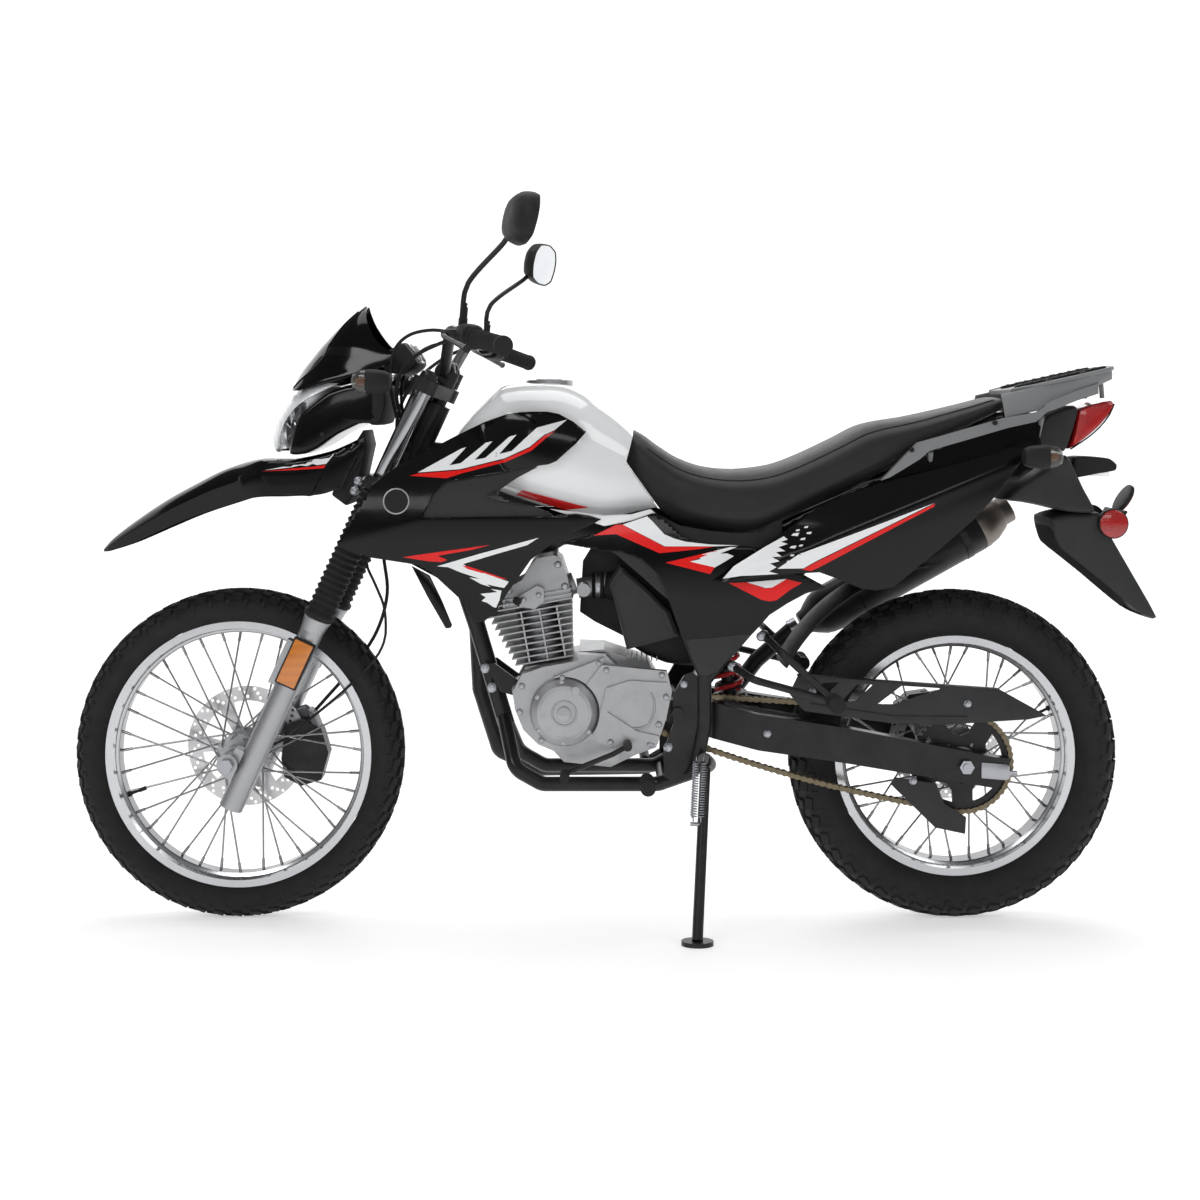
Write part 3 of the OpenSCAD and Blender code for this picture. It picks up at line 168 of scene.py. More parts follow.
class Finish:
    """One material: a Principled shader with what drives it."""

    def __init__(self, name, **sockets):
        self.material = bpy.data.materials.new(name)
        self.material.use_nodes = True
        self.tree = self.material.node_tree
        self.shader = self.tree.nodes["Principled BSDF"]
        self.coordinates = None
        for key, value in sockets.items():
            self.set(key.replace("_", " ").title().replace("Ior", "IOR"), value)

    def set(self, socket, value):
        target = self.shader.inputs[socket]
        if isinstance(value, Wire):
            self.tree.links.new(value.socket, target)
        elif isinstance(value, tuple) and len(value) == 3 and target.type == "RGBA":
            target.default_value = (*value, 1)
        else:
            target.default_value = value

    def node(self, kind, settings, inputs, output=0):
        made = self.tree.nodes.new(kind)
        for key, value in settings.items():
            setattr(made, key, value)
        pairs = inputs.items() if isinstance(inputs, dict) else enumerate(inputs)
        for key, value in pairs:
            if isinstance(value, Wire):
                self.tree.links.new(value.socket, made.inputs[key])
            elif value is not None:
                made.inputs[key].default_value = value
        return Wire(self, made.outputs[output])

    def place(self, scale=(1, 1, 1), turn=(0, 0, 0), shift=(0, 0, 0)):
        """Object coordinates, shifted so that a point is the middle, then turned and scaled."""
        if self.coordinates is None:
            self.coordinates = self.node("ShaderNodeTexCoord", {}, {}, "Object")
        moved = self.node(
            "ShaderNodeMapping", {}, {"Vector": self.coordinates, "Location": tuple(-s for s in shift)}
        )
        if turn == (0, 0, 0) and scale == (1, 1, 1):
            return moved
        return self.node("ShaderNodeMapping", {}, {"Vector": moved, "Rotation": turn, "Scale": scale})

    def along(self, axis, *placed):
        """How far a point is along x, y or z, numbered 0 to 2."""
        split = self.node("ShaderNodeSeparateXYZ", {}, [self.place(*placed)])
        return Wire(self, split.socket.node.outputs[axis])

    def from_axle(self, axle):
        """How far a point is from a wheel's axis, in metres."""
        placed = ((1, 1, 1), (-LEAN, 0, 0), tuple(world(axle[0], 0, axle[1])))
        x, z = self.along(0, *placed), self.along(2, *placed)
        return (x * x + z * z) ** 0.5

    def noise(self, scale, detail=3.0, roughness=0.55, stretch=(1, 1, 1), turn=(0, 0, 0), shift=(0, 0, 0)):
        sizes = {"Scale": scale, "Detail": detail, "Roughness": roughness}
        return self.node("ShaderNodeTexNoise", {}, {"Vector": self.place(stretch, turn, shift), **sizes})

    def cells(self, scale, feature="F1", randomness=1.0):
        sizes = {"Scale": scale, "Randomness": randomness}
        return self.node("ShaderNodeTexVoronoi", {"feature": feature}, {"Vector": self.place(), **sizes})

    def between(self, factor, low, high):
        """A number from low to high as the factor goes from 0 to 1."""
        return factor * (high - low) + low

    def mix(self, factor, one, other):
        made = self.tree.nodes.new("ShaderNodeMix")
        made.data_type = "RGBA"
        for key, value in ((0, factor), (6, one), (7, other)):
            if isinstance(value, Wire):
                self.tree.links.new(value.socket, made.inputs[key])
            elif key == 0:
                made.inputs[key].default_value = value
            else:
                made.inputs[key].default_value = (*value, 1)
        return Wire(self, made.outputs[2])

    def bump(self, *layers):
        """Bump from (height, strength, depth in metres) layers, one over the other."""
        normal = None
        for height, strength, depth in layers:
            inputs = {"Height": height, "Strength": strength, "Distance": depth}
            if normal is not None:
                inputs["Normal"] = normal
            normal = self.node("ShaderNodeBump", {}, inputs)
        self.set("Normal", normal)


def gloss_panel(name, colour, coat=0.1, rough=0.09):
    """Moulded panel with a glossy skin: a slight ripple, fine dust and rubbed patches."""
    f = Finish(name, coat_weight=coat, coat_roughness=0.03, ior=1.3)
    dust = f.noise(9.0, 5.0, 0.6)
    f.set("Base Color", f.mix(dust * 0.1, colour, tuple(c * 0.9 + 0.03 for c in colour)))
    f.set("Roughness", f.between(f.noise(28.0), rough - 0.04, rough + 0.1))
    f.bump((f.noise(55.0, 1.0), 0.06, 0.0012), (f.noise(900.0, 2.0), 0.03, 0.0002))
    return f.material


def grained_plastic(name, colour, rough=0.55, grain=1300.0):
    """Matt moulded plastic with a fine leathery grain and paler scuffs."""
    f = Finish(name, ior=1.34)
    scuff = f.noise(14.0, 6.0, 0.65)
    f.set("Base Color", f.mix((scuff * 1.6 - 0.6).clamp() * 0.35, colour,
        tuple(c * 1.5 + 0.02 for c in colour)))
    f.set("Roughness", f.between(f.noise(60.0), rough - 0.08, rough + 0.12))
    f.bump((f.cells(grain), 0.25, 0.0003), (f.noise(70.0, 2.0), 0.06, 0.001))
    return f.material


def painted_metal(name, colour, rough=0.3, wear=0.12):
    """Sprayed enamel on tube or plate: slight orange peel, dust in patches."""
    f = Finish(name, coat_weight=0.12, coat_roughness=0.1, ior=1.34)
    patches = f.noise(24.0, 6.0, 0.7)
    f.set("Base Color", f.mix((patches * 1.8 - 0.75).clamp() * wear, colour, (0.16, 0.155, 0.15)))
    f.set("Roughness", f.between(f.noise(45.0), rough - 0.06, rough + 0.14))
    f.bump((f.noise(420.0, 2.0), 0.12, 0.0004))
    return f.material


def cast_metal(name, colour, rough=0.42, pits=520.0, stain=(0.16, 0.15, 0.14), metal=0.85):
    """Sand-cast or die-cast alloy: fine pits, cloudy tone, darker stains in patches."""
    f = Finish(name)
    cloud = f.noise(11.0, 5.0, 0.6)
    stains = (f.noise(31.0, 6.0, 0.72, shift=(0.7, 0.2, 0.1)) * 2.2 - 1.05).clamp()
    base = f.mix(cloud, tuple(c * 0.86 for c in colour), tuple(min(1, c * 1.1) for c in colour))
    f.set("Base Color", f.mix(stains * 0.35, base, stain))
    f.set("Metallic", metal)
    f.set("Roughness", f.between(f.noise(70.0), rough - 0.1, rough + 0.12))
    f.bump((f.noise(pits, 4.0, 0.7), 0.28, 0.0005), (f.cells(pits * 1.6), 0.08, 0.0002))
    return f.material


def turned_metal(name, colour, rough=0.22, scratch=(1, 1, 40), turn=(0, 0, 0)):
    """Machined or drawn metal: fine scratches along one way, small changes in shine."""
    f = Finish(name, metallic=1.0)
    lines = f.noise(90.0, 4.0, 0.7, scratch, turn)
    cloud = f.noise(17.0)
    f.set("Base Color", f.mix(cloud * 0.5, colour, tuple(c * 0.75 for c in colour)))
    f.set("Roughness", f.between(lines, rough - 0.08, rough + 0.16))
    f.bump((lines, 0.05, 0.0002))
    return f.material


def moulded_rubber(name, colour=(0.011, 0.011, 0.0115), rough=0.62):
    f = Finish(name, ior=1.33)
    bloom = f.noise(20.0, 6.0, 0.7)
    f.set("Base Color", f.mix((bloom * 1.5 - 0.45).clamp() * 0.4, colour, (0.04, 0.039, 0.037)))
    f.set("Roughness", f.between(f.noise(90.0), rough - 0.08, rough + 0.16))
    f.bump((f.noise(1500.0, 2.0), 0.2, 0.0003))
    return f.material


def clear_lens(name, tint, rough=0.03, alpha=0.3):
    f = Finish(name, ior=1.49, coat_weight=0.6, coat_roughness=0.02)
    f.set("Alpha", f.between(f.noise(12.0), alpha - 0.03, alpha + 0.03))
    f.set("Base Color", f.mix(f.noise(30.0) * 0.12, tint, tuple(c * 0.85 for c in tint)))
    f.set("Roughness", f.between(f.noise(60.0), rough, rough + 0.05))
    f.bump((f.noise(24.0, 1.0), 0.05, 0.001))
    return f.material


def lit_lens(name, colour, ribs):
    """Coloured lamp lens: deep colour with moulded prisms under a smooth skin."""
    f = Finish(name, coat_weight=0.9, coat_roughness=0.03, ior=1.5, transmission_weight=0.25)
    prism = f.cells(ribs, randomness=0.0)
    f.set("Base Color", f.mix(prism, tuple(c * 0.7 for c in colour), tuple(min(1, c * 1.35) for c in colour)))
    f.set("Roughness", f.between(prism, 0.1, 0.3))
    f.bump((prism, 0.3, 0.001))
    return f.material


def seat_cover(name):
    """Stretched vinyl with a leathery grain and a soft sheen."""
    f = Finish(name, ior=1.4, coat_weight=0.05, coat_roughness=0.35)
    crease = f.cells(620.0, "DISTANCE_TO_EDGE")
    fold = f.noise(16.0, 4.0, 0.6)
    f.set("Base Color", f.mix(fold * 0.5, (0.009, 0.009, 0.0095), (0.021, 0.021, 0.022)))
    f.set("Roughness", f.between(f.noise(40.0, 4.0), 0.42, 0.62))
    f.bump((fold, 0.12, 0.003), ((crease * 5.0).clamp(), 0.22, 0.0004), (f.noise(1400.0), 0.1, 0.0002))
    return f.material


def tyre_rubber(name, axle, r_in):
    """Tyre: faint rings on the wall and a dusty bloom."""
    f = Finish(name, ior=1.33)
    radius = f.from_axle(axle)
    rings = (radius * 1500.0).math("SINE") * 0.5 + 0.5
    wall = ((r_in + 0.045 - radius) * 60.0).clamp()
    bloom = f.noise(24.0, 6.0, 0.7)
    tone = f.mix((bloom * 1.7 - 0.5).clamp() * 0.4, (0.009, 0.009, 0.0095), (0.034, 0.033, 0.031))
    f.set("Base Color", tone)
    f.set("Roughness", f.between(f.noise(120.0), 0.58, 0.78))
    f.bump((rings * wall, 0.12, 0.0004), (f.noise(1300.0), 0.16, 0.0003))
    return f.material


def disc_steel(name, axle):
    """Ground brake disc: fine rings round the axle."""
    f = Finish(name, metallic=1.0)
    rings = {"W": f.from_axle(axle), "Scale": 900.0, "Detail": 3.0}
    lines = f.node("ShaderNodeTexNoise", {"noise_dimensions": "1D"}, rings)
    f.set("Base Color", f.mix(lines, (0.42, 0.42, 0.43), (0.72, 0.72, 0.73)))
    f.set("Roughness", f.between(lines, 0.2, 0.42))
    f.bump((lines, 0.12, 0.0002))
    return f.material


def laced_rim(name, axle, r_in):
    """Polished rim with duller zinc spokes and nipples inside it."""
    f = Finish(name, metallic=1.0)
    inside = ((r_in - f.from_axle(axle)) * 900.0).clamp()
    lines = f.noise(90.0, 4.0, 0.7, (1, 30, 1))
    rim = f.mix(f.noise(17.0) * 0.5, (0.60, 0.61, 0.63), (0.46, 0.47, 0.48))
    spoke = f.mix(f.noise(60.0), (0.22, 0.223, 0.23), (0.36, 0.363, 0.37))
    f.set("Base Color", f.mix(inside, rim, spoke))
    f.set("Roughness", f.between(lines, 0.1, 0.34))
    f.bump((lines, 0.05, 0.0002))
    return f.material


FINISH = {
    "frame_paint": painted_metal("frame_enamel", (0.008, 0.008, 0.0085)),
    "dark_steel": painted_metal("satin_black_steel", (0.011, 0.011, 0.0115), 0.38),
    "steel": turned_metal("zinc_plate", (0.42, 0.43, 0.46), 0.26),
    "chain_steel": turned_metal("oiled_chain_steel", (0.20, 0.165, 0.11), 0.36),
    "alloy": turned_metal("satin_slider_alloy", (0.44, 0.445, 0.46), 0.36, (60, 1, 1)),
    "cast_alloy": cast_metal("cast_engine_alloy", (0.43, 0.435, 0.445)),
    "white_paint": gloss_panel("white_tank_paint", (0.83, 0.84, 0.85), 0.8, 0.14),
    "black_gloss": gloss_panel("gloss_black_panel", (0.0025, 0.0025, 0.003)),
    "black_plastic": grained_plastic("grained_black_plastic", (0.011, 0.011, 0.0115)),
    "grey_plastic": grained_plastic("grained_grey_plastic", (0.026, 0.0265, 0.028), 0.5),
    "rack_grey": painted_metal("rack_silver_paint", (0.21, 0.215, 0.22), 0.4, 0.05),
    "rubber": moulded_rubber("soft_rubber"),
    "seat_vinyl": seat_cover("seat_vinyl"),
    "exhaust_black": painted_metal("heatproof_black", (0.009, 0.009, 0.009), 0.45),
    "lamp_glass": clear_lens("headlight_glass", (0.97, 0.98, 1.0)),
    "red_lens": lit_lens("tail_lens_red", (0.50, 0.012, 0.012), 260.0),
}
SPRING_RED = painted_metal("spring_red_paint", (0.42, 0.012, 0.015), 0.3, 0.04)

SLOT_OF = {s["node"]: s["material_slot"] for s in frame["record"]["subparts"]}
OWN_FINISH = {}
for end, axle, size, lacing_r in (
    ("front", FRONT_AXLE, FRONT_TYRE, 0.2405),
    ("rear", REAR_AXLE, REAR_TYRE, 0.2145),
):
    OWN_FINISH[end + "_rim"] = laced_rim(end + "_laced_rim", axle, lacing_r)
    OWN_FINISH[end + "_disc"] = disc_steel(end + "_disc_steel", axle)
    OWN_FINISH[end + "_tyre"] = tyre_rubber(end + "_tyre_rubber", axle, size[2] * MM)


def paint(obj, material):
    obj.data.materials.clear()
    obj.data.materials.append(material)


for name, node in frame["nodes"].items():
    finish = OWN_FINISH.get(name) or FINISH[SLOT_OF[name]]
    if not node.data.materials:
        node.data.materials.append(finish)
    for place in range(len(node.data.materials)):
        node.data.materials[place] = finish


def make_floor():
    floor = started("studio_floor", "plane", size=40, location=(0, 0, 0))
    f = Finish("floor_painted_glow_and_front_shade", emission_strength=0.46)
    # Painted light and shade: near and behind the machine the floor glows white by its own emission, lifting
    # its shadows; towards the front it is painted dark with no glow.
    near = ((f.along(1) + 3.7) * 0.45).clamp()
    f.set("Base Color", f.mix(near, (0.18, 0.18, 0.183), (0.80, 0.80, 0.80)))
    f.set("Emission Color", f.mix(near, (0.0, 0.0, 0.0), (1.0, 1.0, 1.0)))
    f.set("Roughness", f.between(f.noise(3.0), 0.6, 0.75))
    paint(floor, f.material)


def make_backdrop():
    """A round wall that meets the floor in a cove, with painted light: its own glow is white behind the
    machine and fades to near black in front.
    """
    section = [(7.0, 0.004), (7.8, 0.10), (8.5, 0.45), (8.9, 1.1), (9.0, 2.0), (9.0, 7.0)]

    def at(u, v):
        r, z = section[round(u * (len(section) - 1))]
        a = 2 * math.pi * v
        return Vector((r * math.cos(a), r * math.sin(a), z))

    wall = web("studio_wall", len(section) - 1, 96, at)
    f = Finish("wall_painted_glow_and_front_shade", base_color=(0.3, 0.3, 0.3), roughness=0.8, emission_strength=1.0)
    # Painted light and shade: the emission is white behind the machine and near black in front.
    behind = (f.along(1) * 0.3 + 0.1).clamp()
    f.set("Emission Color", f.mix(behind, (0.06, 0.06, 0.062), (1.0, 1.0, 1.0)))
    paint(wall, f.material)


# ---------- making pieces ----------

def lookup(x, table):
    """The value at x in a table of (x, value), straight between its rows."""
    if x <= table[0][0]:
        return table[0][1]
    for (x0, v0), (x1, v1) in zip(table, table[1:]):
        if x <= x1:
            return v0 + (v1 - v0) * (x - x0) / (x1 - x0)
    return table[-1][1]


def eased(x, table):
    """The value at x in a table of (x, value), on a smooth curve through its rows."""
    rows = sorted(table)
    if x <= rows[0][0]:
        return rows[0][1]
    for i in range(len(rows) - 1):
        x0, v0 = rows[i]
        x1, v1 = rows[i + 1]
        if x <= x1:
            before = rows[max(i - 1, 0)]
            after = rows[min(i + 2, len(rows) - 1)]
            m0 = (v1 - before[1]) / (x1 - before[0])
            m1 = (after[1] - v0) / (after[0] - x0)
            t = (x - x0) / (x1 - x0)
            w = x1 - x0
            return (
                (2 * t**3 - 3 * t**2 + 1) * v0
                + (t**3 - 2 * t**2 + t) * w * m0
                + (3 * t**2 - 2 * t**3) * v1
                + (t**3 - t**2) * w * m1
            )
    return rows[-1][1]


def bend(p0, p1, p2, p3, t):
    """A point t of the way from p1 to p2, on the smooth curve through all four."""
    squared = (2 * p0 - 5 * p1 + 4 * p2 - p3) * t * t
    return 0.5 * (2 * p1 + (p2 - p0) * t + squared + (3 * p1 - p0 - 3 * p2 + p3) * t**3)


def root(value, power):
    """A signed power, for squared-off ovals."""
    return math.copysign(abs(value) ** (2 / power), value)


def ring(centre, side, up, r, steps, power=2.0, start=0.0):
    """Points round a centre in the plane of two directions, squared off by a power over 2."""
    turns = [2 * math.pi * (k + start) / steps for k in range(steps)]
    return [centre + (side * root(math.cos(a), power) + up * root(math.sin(a), power)) * r for a in turns]


def alone(obj):
    """Only this object is chosen."""
    bpy.ops.object.select_all(action="DESELECT")
    obj.select_set(True)
    bpy.context.view_layer.objects.active = obj


def named(name):
    obj = bpy.context.object
    obj.name = obj.data.name = name
    return obj


def started(name, shape, **sizes):
    """A new primitive, with nothing else chosen."""
    bpy.ops.object.select_all(action="DESELECT")
    getattr(bpy.ops.mesh, f"primitive_{shape}_add")(**sizes)
    return named(name)


@contextmanager
def editing(obj, choose="SELECT"):
    """Edit mode on this object alone, with all of it chosen or none."""
    alone(obj)
    bpy.ops.object.mode_set(mode="EDIT")
    bpy.ops.mesh.select_all(action=choose)
    yield
    bpy.ops.object.mode_set(mode="OBJECT")


@contextmanager
def editing_top(obj):
    """Edit mode with only the faces that look up chosen."""
    with editing(obj, "DESELECT"):
        pass
    for face in obj.data.polygons:
        face.select = face.normal.z > 0.9
    bpy.ops.object.mode_set(mode="EDIT")
    yield
    bpy.ops.object.mode_set(mode="OBJECT")


def apply_modifier(obj, kind, **settings):
    alone(obj)
    made = obj.modifiers.new(kind.lower(), kind)
    for key, value in settings.items():
        setattr(made, key, value)
    bpy.ops.object.modifier_apply(modifier=made.name)


def soften(obj, width, segments=2, angle=None):
    """Rounds the edges that are sharper than the angle."""
    limit = {} if angle is None else {"angle_limit": math.radians(angle)}
    apply_modifier(obj, "BEVEL", width=width, segments=segments, limit_method="ANGLE", **limit)


def thicken(obj, wall, offset=-1):
    apply_modifier(obj, "SOLIDIFY", thickness=wall, offset=offset)


def smooth(obj, angle=38):
    alone(obj)
    bpy.ops.object.shade_smooth_by_angle(angle=math.radians(angle))


def face_outwards(obj):
    with editing(obj):
        bpy.ops.mesh.remove_doubles(threshold=0.001)
        bpy.ops.mesh.normals_make_consistent(inside=False)


def turn_faces(obj, outward):
    """Turns a skin over when outward(face) adds up to less than nothing."""
    if sum(outward(face) for face in obj.data.polygons) < 0:
        obj.data.flip_normals()


def web(name, columns, rows, at):
    """A grid whose points are placed by at(u, v), u and v from 0 to 1."""
    obj = started(name, "grid", x_subdivisions=columns, y_subdivisions=rows, size=1)
    for i, vertex in enumerate(obj.data.vertices):
        vertex.co = at((i % (columns + 1)) / columns, (i // (columns + 1)) / rows)
    return obj


def loft(name, rings, caps=True):
    """A closed skin through rings of points, with its ends filled."""
    around, along = len(rings[0]), len(rings) - 1
    obj = web(name, around, along, lambda u, v: rings[round(v * along)][round(u * around) % around])
    with editing(obj):
        bpy.ops.mesh.remove_doubles(threshold=0.0005)
        if caps:
            bpy.ops.mesh.fill_holes(sides=0)
        bpy.ops.mesh.normals_make_consistent(inside=False)
    return obj


def turned(name, profile, centre, steps):
    """A profile of (y, radius) carried round an axis along y through centre (x, z)."""

    def at(u, v):
        a = math.radians(360 * v)
        y, r = profile[round(u * (len(profile) - 1))]
        return Vector((centre[0] + r * math.cos(a), y, centre[1] + r * math.sin(a)))

    obj = web(name, len(profile) - 1, steps, at)
    face_outwards(obj)
    return obj


X, Y, Z = Vector((1, 0, 0)), Vector((0, 1, 0)), Vector((0, 0, 1))


def turned_x(name, profile, centre, steps=32):
    """A profile of (x, radius) turned about an axis along x, open at its ends."""
    return loft(name, [ring(Vector(centre) + X * x, Y, Z, r, steps) for x, r in profile], caps=False)


def turned_z(name, profile, centre, steps=40):
    """A profile of (z, radius) turned about an upright axis."""
    return loft(name, [ring(Vector((*centre, z)), X, Y, r, steps) for z, r in profile])


def lathe(name, profile, centre, power=2.6, steps=40):
    """A pod along x: a profile of (x, radius) with a slightly squared section."""
    return loft(name, [ring(Vector(centre) + X * x, Y, Z, r, steps, power, 0.5) for x, r in profile])


def plate(name, points, y0, y1, bevel=0.0, segments=2):
    """An outline of (x, z) extruded from y0 to y1, its edges rounded."""
    obj = started(name, "circle", vertices=len(points), radius=1, fill_type="NGON")
    for vertex, (x, z) in zip(obj.data.vertices, points):
        vertex.co = (x, y0, z)
    with editing(obj):
        bpy.ops.mesh.extrude_region_move(TRANSFORM_OT_translate={"value": (0, y1 - y0, 0)})
        bpy.ops.mesh.select_all(action="SELECT")
        bpy.ops.mesh.normals_make_consistent(inside=False)
    if bevel:
        soften(obj, bevel, segments)
    return obj


def rounded_box(name, low, high, bevel, segments=3):
    """A box between two corners with rounded edges."""
    obj = started(name, "cube", size=1)
    low, high = Vector(low), Vector(high)
    obj.data.transform(Matrix.Translation((low + high) / 2) @ Matrix.Diagonal((*(high - low), 1)))
    soften(obj, bevel, segments)
    return obj


def combine(obj, tool, operation="DIFFERENCE"):
    """A Boolean of obj with tool, which is used up."""
    apply_modifier(obj, "BOOLEAN", operation=operation, object=tool, solver="EXACT")
    bpy.data.objects.remove(tool)


def joined(name, parts):
    bpy.ops.object.select_all(action="DESELECT")
    for part in parts:
        part.select_set(True)
    bpy.context.view_layer.objects.active = parts[0]
    if len(parts) > 1:
        bpy.ops.object.join()
    return named(name)


def copied(obj, name, move):
    made = obj.copy()
    made.data = obj.data.copy()
    made.name = made.data.name = name
    bpy.context.scene.collection.objects.link(made)
    made.data.transform(move)
    if move.determinant() < 0:
        made.data.flip_normals()
    return made


MIRROR = Matrix.Scale(-1, 4, (0, 1, 0))


def rod(name, a, b, r, steps=20, bevel=0.0):
    """A round bar from a to b with rounded ends."""
    a, b = Vector(a), Vector(b)
    obj = started(name, "cylinder", vertices=steps, radius=r, depth=(b - a).length)
    turn = (b - a).to_track_quat("Z", "Y").to_matrix().to_4x4()
    if bevel:
        soften(obj, bevel)
    obj.data.transform(Matrix.Translation((a + b) / 2) @ turn)
    return obj


def tube_path(points, step=12.0):
    """Points on a smooth curve through the given ones."""
    pts = [Vector(p) for p in points]
    out = []
    for i in range(len(pts) - 1):
        p0, p1, p2, p3 = pts[max(i - 1, 0)], pts[i], pts[i + 1], pts[min(i + 2, len(pts) - 1)]
        n = max(2, int((p2 - p1).length / step))
        out += [bend(p0, p1, p2, p3, k / n) for k in range(n)]
    out.append(pts[-1])
    return out


def sweep(name, path, radius_at, steps):
    """A round skin along a path: radius_at(t) is its radius, t from 0 to 1."""
    normal = (path[1] - path[0]).orthogonal().normalized()
    rings = []
    for i, p in enumerate(path):
        ahead = (path[min(i + 1, len(path) - 1)] - path[max(i - 1, 0)]).normalized()
        normal = (normal - ahead * normal.dot(ahead)).normalized()
        rings.append(ring(p, normal, ahead.cross(normal), radius_at(i / (len(path) - 1)), steps))
    return loft(name, rings)


def tube(name, points, r, steps=12):
    """A tube along a smooth curve through the points, r a radius or radius_at(t)."""
    return sweep(name, tube_path(points), r if callable(r) else lambda t: r, steps)


def hand_over(obj, body, slot, finish=None, nodes=(), angle=38, where=PARKED):
    """Puts the piece in its place on the leaning machine and says what it rides on."""
    obj.data.transform(where)
    if where.determinant() < 0:
        obj.data.flip_normals()
    smooth(obj, angle)
    paint(obj, FINISH.get(finish, finish) or FINISH[slot])
    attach(obj, body)
    if nodes:
        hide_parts(*nodes)
    return obj


def pair(obj, body, slot, finish=None, nodes=(), angle=38):
    """The piece and its mirror image on the right, handed over as one mesh."""
    both = joined(obj.name, [obj, copied(obj, obj.name + "_r", MIRROR)])
    return hand_over(both, body, slot, finish, nodes, angle)


# ---------- bolts and other small hardware ----------

def bolt_shape(kind, size):
    """One bolt, its axis along z and its seat at z = 0: size is its head's width in mm."""
    if kind == "hex":
        head = started("head", "cylinder", vertices=6, radius=size * 0.56, depth=size * 0.5)
        head.data.transform(Matrix.Translation((0, 0, size * 0.37)))
        soften(head, size * 0.05)
        flange = started("flange", "cone", vertices=20, radius1=size * 0.78, radius2=size * 0.62,
            depth=size * 0.16)
        flange.data.transform(Matrix.Translation((0, 0, size * 0.08)))
        return joined("bolt_" + kind, [head, flange])
    head = started("head", "cylinder", vertices=20, radius=size * 0.5, depth=size * 0.42)
    with editing_top(head):
        bpy.ops.mesh.inset(thickness=size * 0.2)
        bpy.ops.mesh.extrude_region_move(TRANSFORM_OT_translate={"value": (0, 0, -size * 0.2)})
    soften(head, size * 0.05)
    head.data.transform(Matrix.Translation((0, 0, size * 0.21)))
    return head


BOLT_SHAPES = {}


def bolts(name, body, places, finish="steel", where=PARKED):
    """Bolts at (x, y, z, way out, size, kind) places, as one piece."""
    made = []
    for i, (x, y, z, out, size, kind) in enumerate(places):
        if (kind, size) not in BOLT_SHAPES:
            BOLT_SHAPES[(kind, size)] = bolt_shape(kind, size)
            BOLT_SHAPES[(kind, size)].name = f"bolt_{kind}_{size}"
        turn = Vector(out).to_track_quat("Z", "Y").to_matrix().to_4x4()
        seat = Matrix.Translation((x, y, z)) @ turn @ Matrix.Rotation(0.7 * i, 4, "Z")
        made.append(copied(BOLT_SHAPES[(kind, size)], f"{name}_{i}", seat))
    hand_over(joined(name, made), body, "steel", finish, angle=30, where=where)


def facing(side, y, size, places, kind="hex"):
    """Bolts that look out on the left, -1, or the right, 1, at (x, z) places."""
    return [(x, side * y, z, (0, side, 0), size, kind) for x, z in places]


# ---------- body panels ----------

TANK_HALF = [(-280, 50), (-270, 66), (-240, 98), (-196, 130), (-135, 150), (-71, 150),
             (-28, 143), (36, 124), (80, 110), (124, 100)]
TANK_TOP = [(-280, 955), (-270, 968), (-238, 1005), (-196, 1043), (-170, 1050), (-135, 1053), (-71, 1051),
            (-28, 1035), (0, 1014), (36, 987), (67, 959), (124, 884)]
TANK_FOOT = [(-280, 900), (-240, 862), (-194, 838), (-100, 806), (6, 779), (70, 786), (124, 800)]
TANK_SQUARE = 2.7


def tank_y(x, z):
    lo, hi = eased(x, TANK_FOOT), eased(x, TANK_TOP)
    t = min(1, abs((z - (lo + hi) / 2) / ((hi - lo) / 2)))
    return eased(x, TANK_HALF) * (1 - t**TANK_SQUARE) ** (1 / TANK_SQUARE)


def shroud_y(x, z):
    own = 185 - 0.09 * (x + 470) - 14 * ((z - 760) / 100) ** 2 * (0.62 if z > 760 else 1)
    return max(tank_y(x, z) + 12.5, own)


def side_y(x, z):
    return 150 - 12 * ((x - 150) / 200) ** 2 - 14 * ((z - 680) / 150) ** 2


def tail_y(x, z):
    return 163 - 0.06 * (x - 300) - 16 * ((z - (590 + 0.36 * x)) / 90) ** 2


def panel(name, outline, face, out=0.0, wall=3.0, step=9.0, bevel=0.9):
    """A moulded skin on the left side: its outline in (x, z), its face out from the middle."""
    xs, zs = [p[0] for p in outline], [p[1] for p in outline]
    x0, x1, z0, z1 = min(xs) - 2, max(xs) + 2, min(zs) - 2, max(zs) + 2
    columns, rows = max(2, int((x1 - x0) / step)), max(2, int((z1 - z0) / step))

    def at(u, v):
        x, z = x0 + (x1 - x0) * u, z0 + (z1 - z0) * v
        return Vector((x, -face(x, z) - out, z))

    obj = web(name, columns, rows, at)
    with editing(obj):
        bpy.ops.mesh.normals_make_consistent(inside=False)
    turn_faces(obj, lambda p: -p.normal.y)
    thicken(obj, wall)
    deepest = max(v.co.y for v in obj.data.vertices)
    tallest = min(v.co.y for v in obj.data.vertices)
    combine(obj, plate("tool", outline, tallest - 9, deepest + 9), "INTERSECT")
    if bevel:
        soften(obj, bevel, angle=40)
    return obj


def stripe(name, outline, face, finish, body="chassis", out=0.35):
    """A sticker: a thin skin that follows the panel under it."""
    pair(panel(name, outline, face, out, 0.3, 11.0, 0), body, "black_gloss", finish, angle=60)


# ---------- tyres ----------

def knob_shape(name, long, wide, deep, skew):
    """One tread block: a tapered pad with softened edges."""
    knob = started(name, "cube", size=1)
    knob.data.transform(Matrix.Diagonal((long, wide, deep, 1)))
    with editing_top(knob):
        bpy.ops.transform.resize(value=(0.86, 0.88, 1))
    soften(knob, 0.7, 1)
    knob.data.transform(Matrix.Rotation(math.radians(skew), 4, "Z"))
    return knob


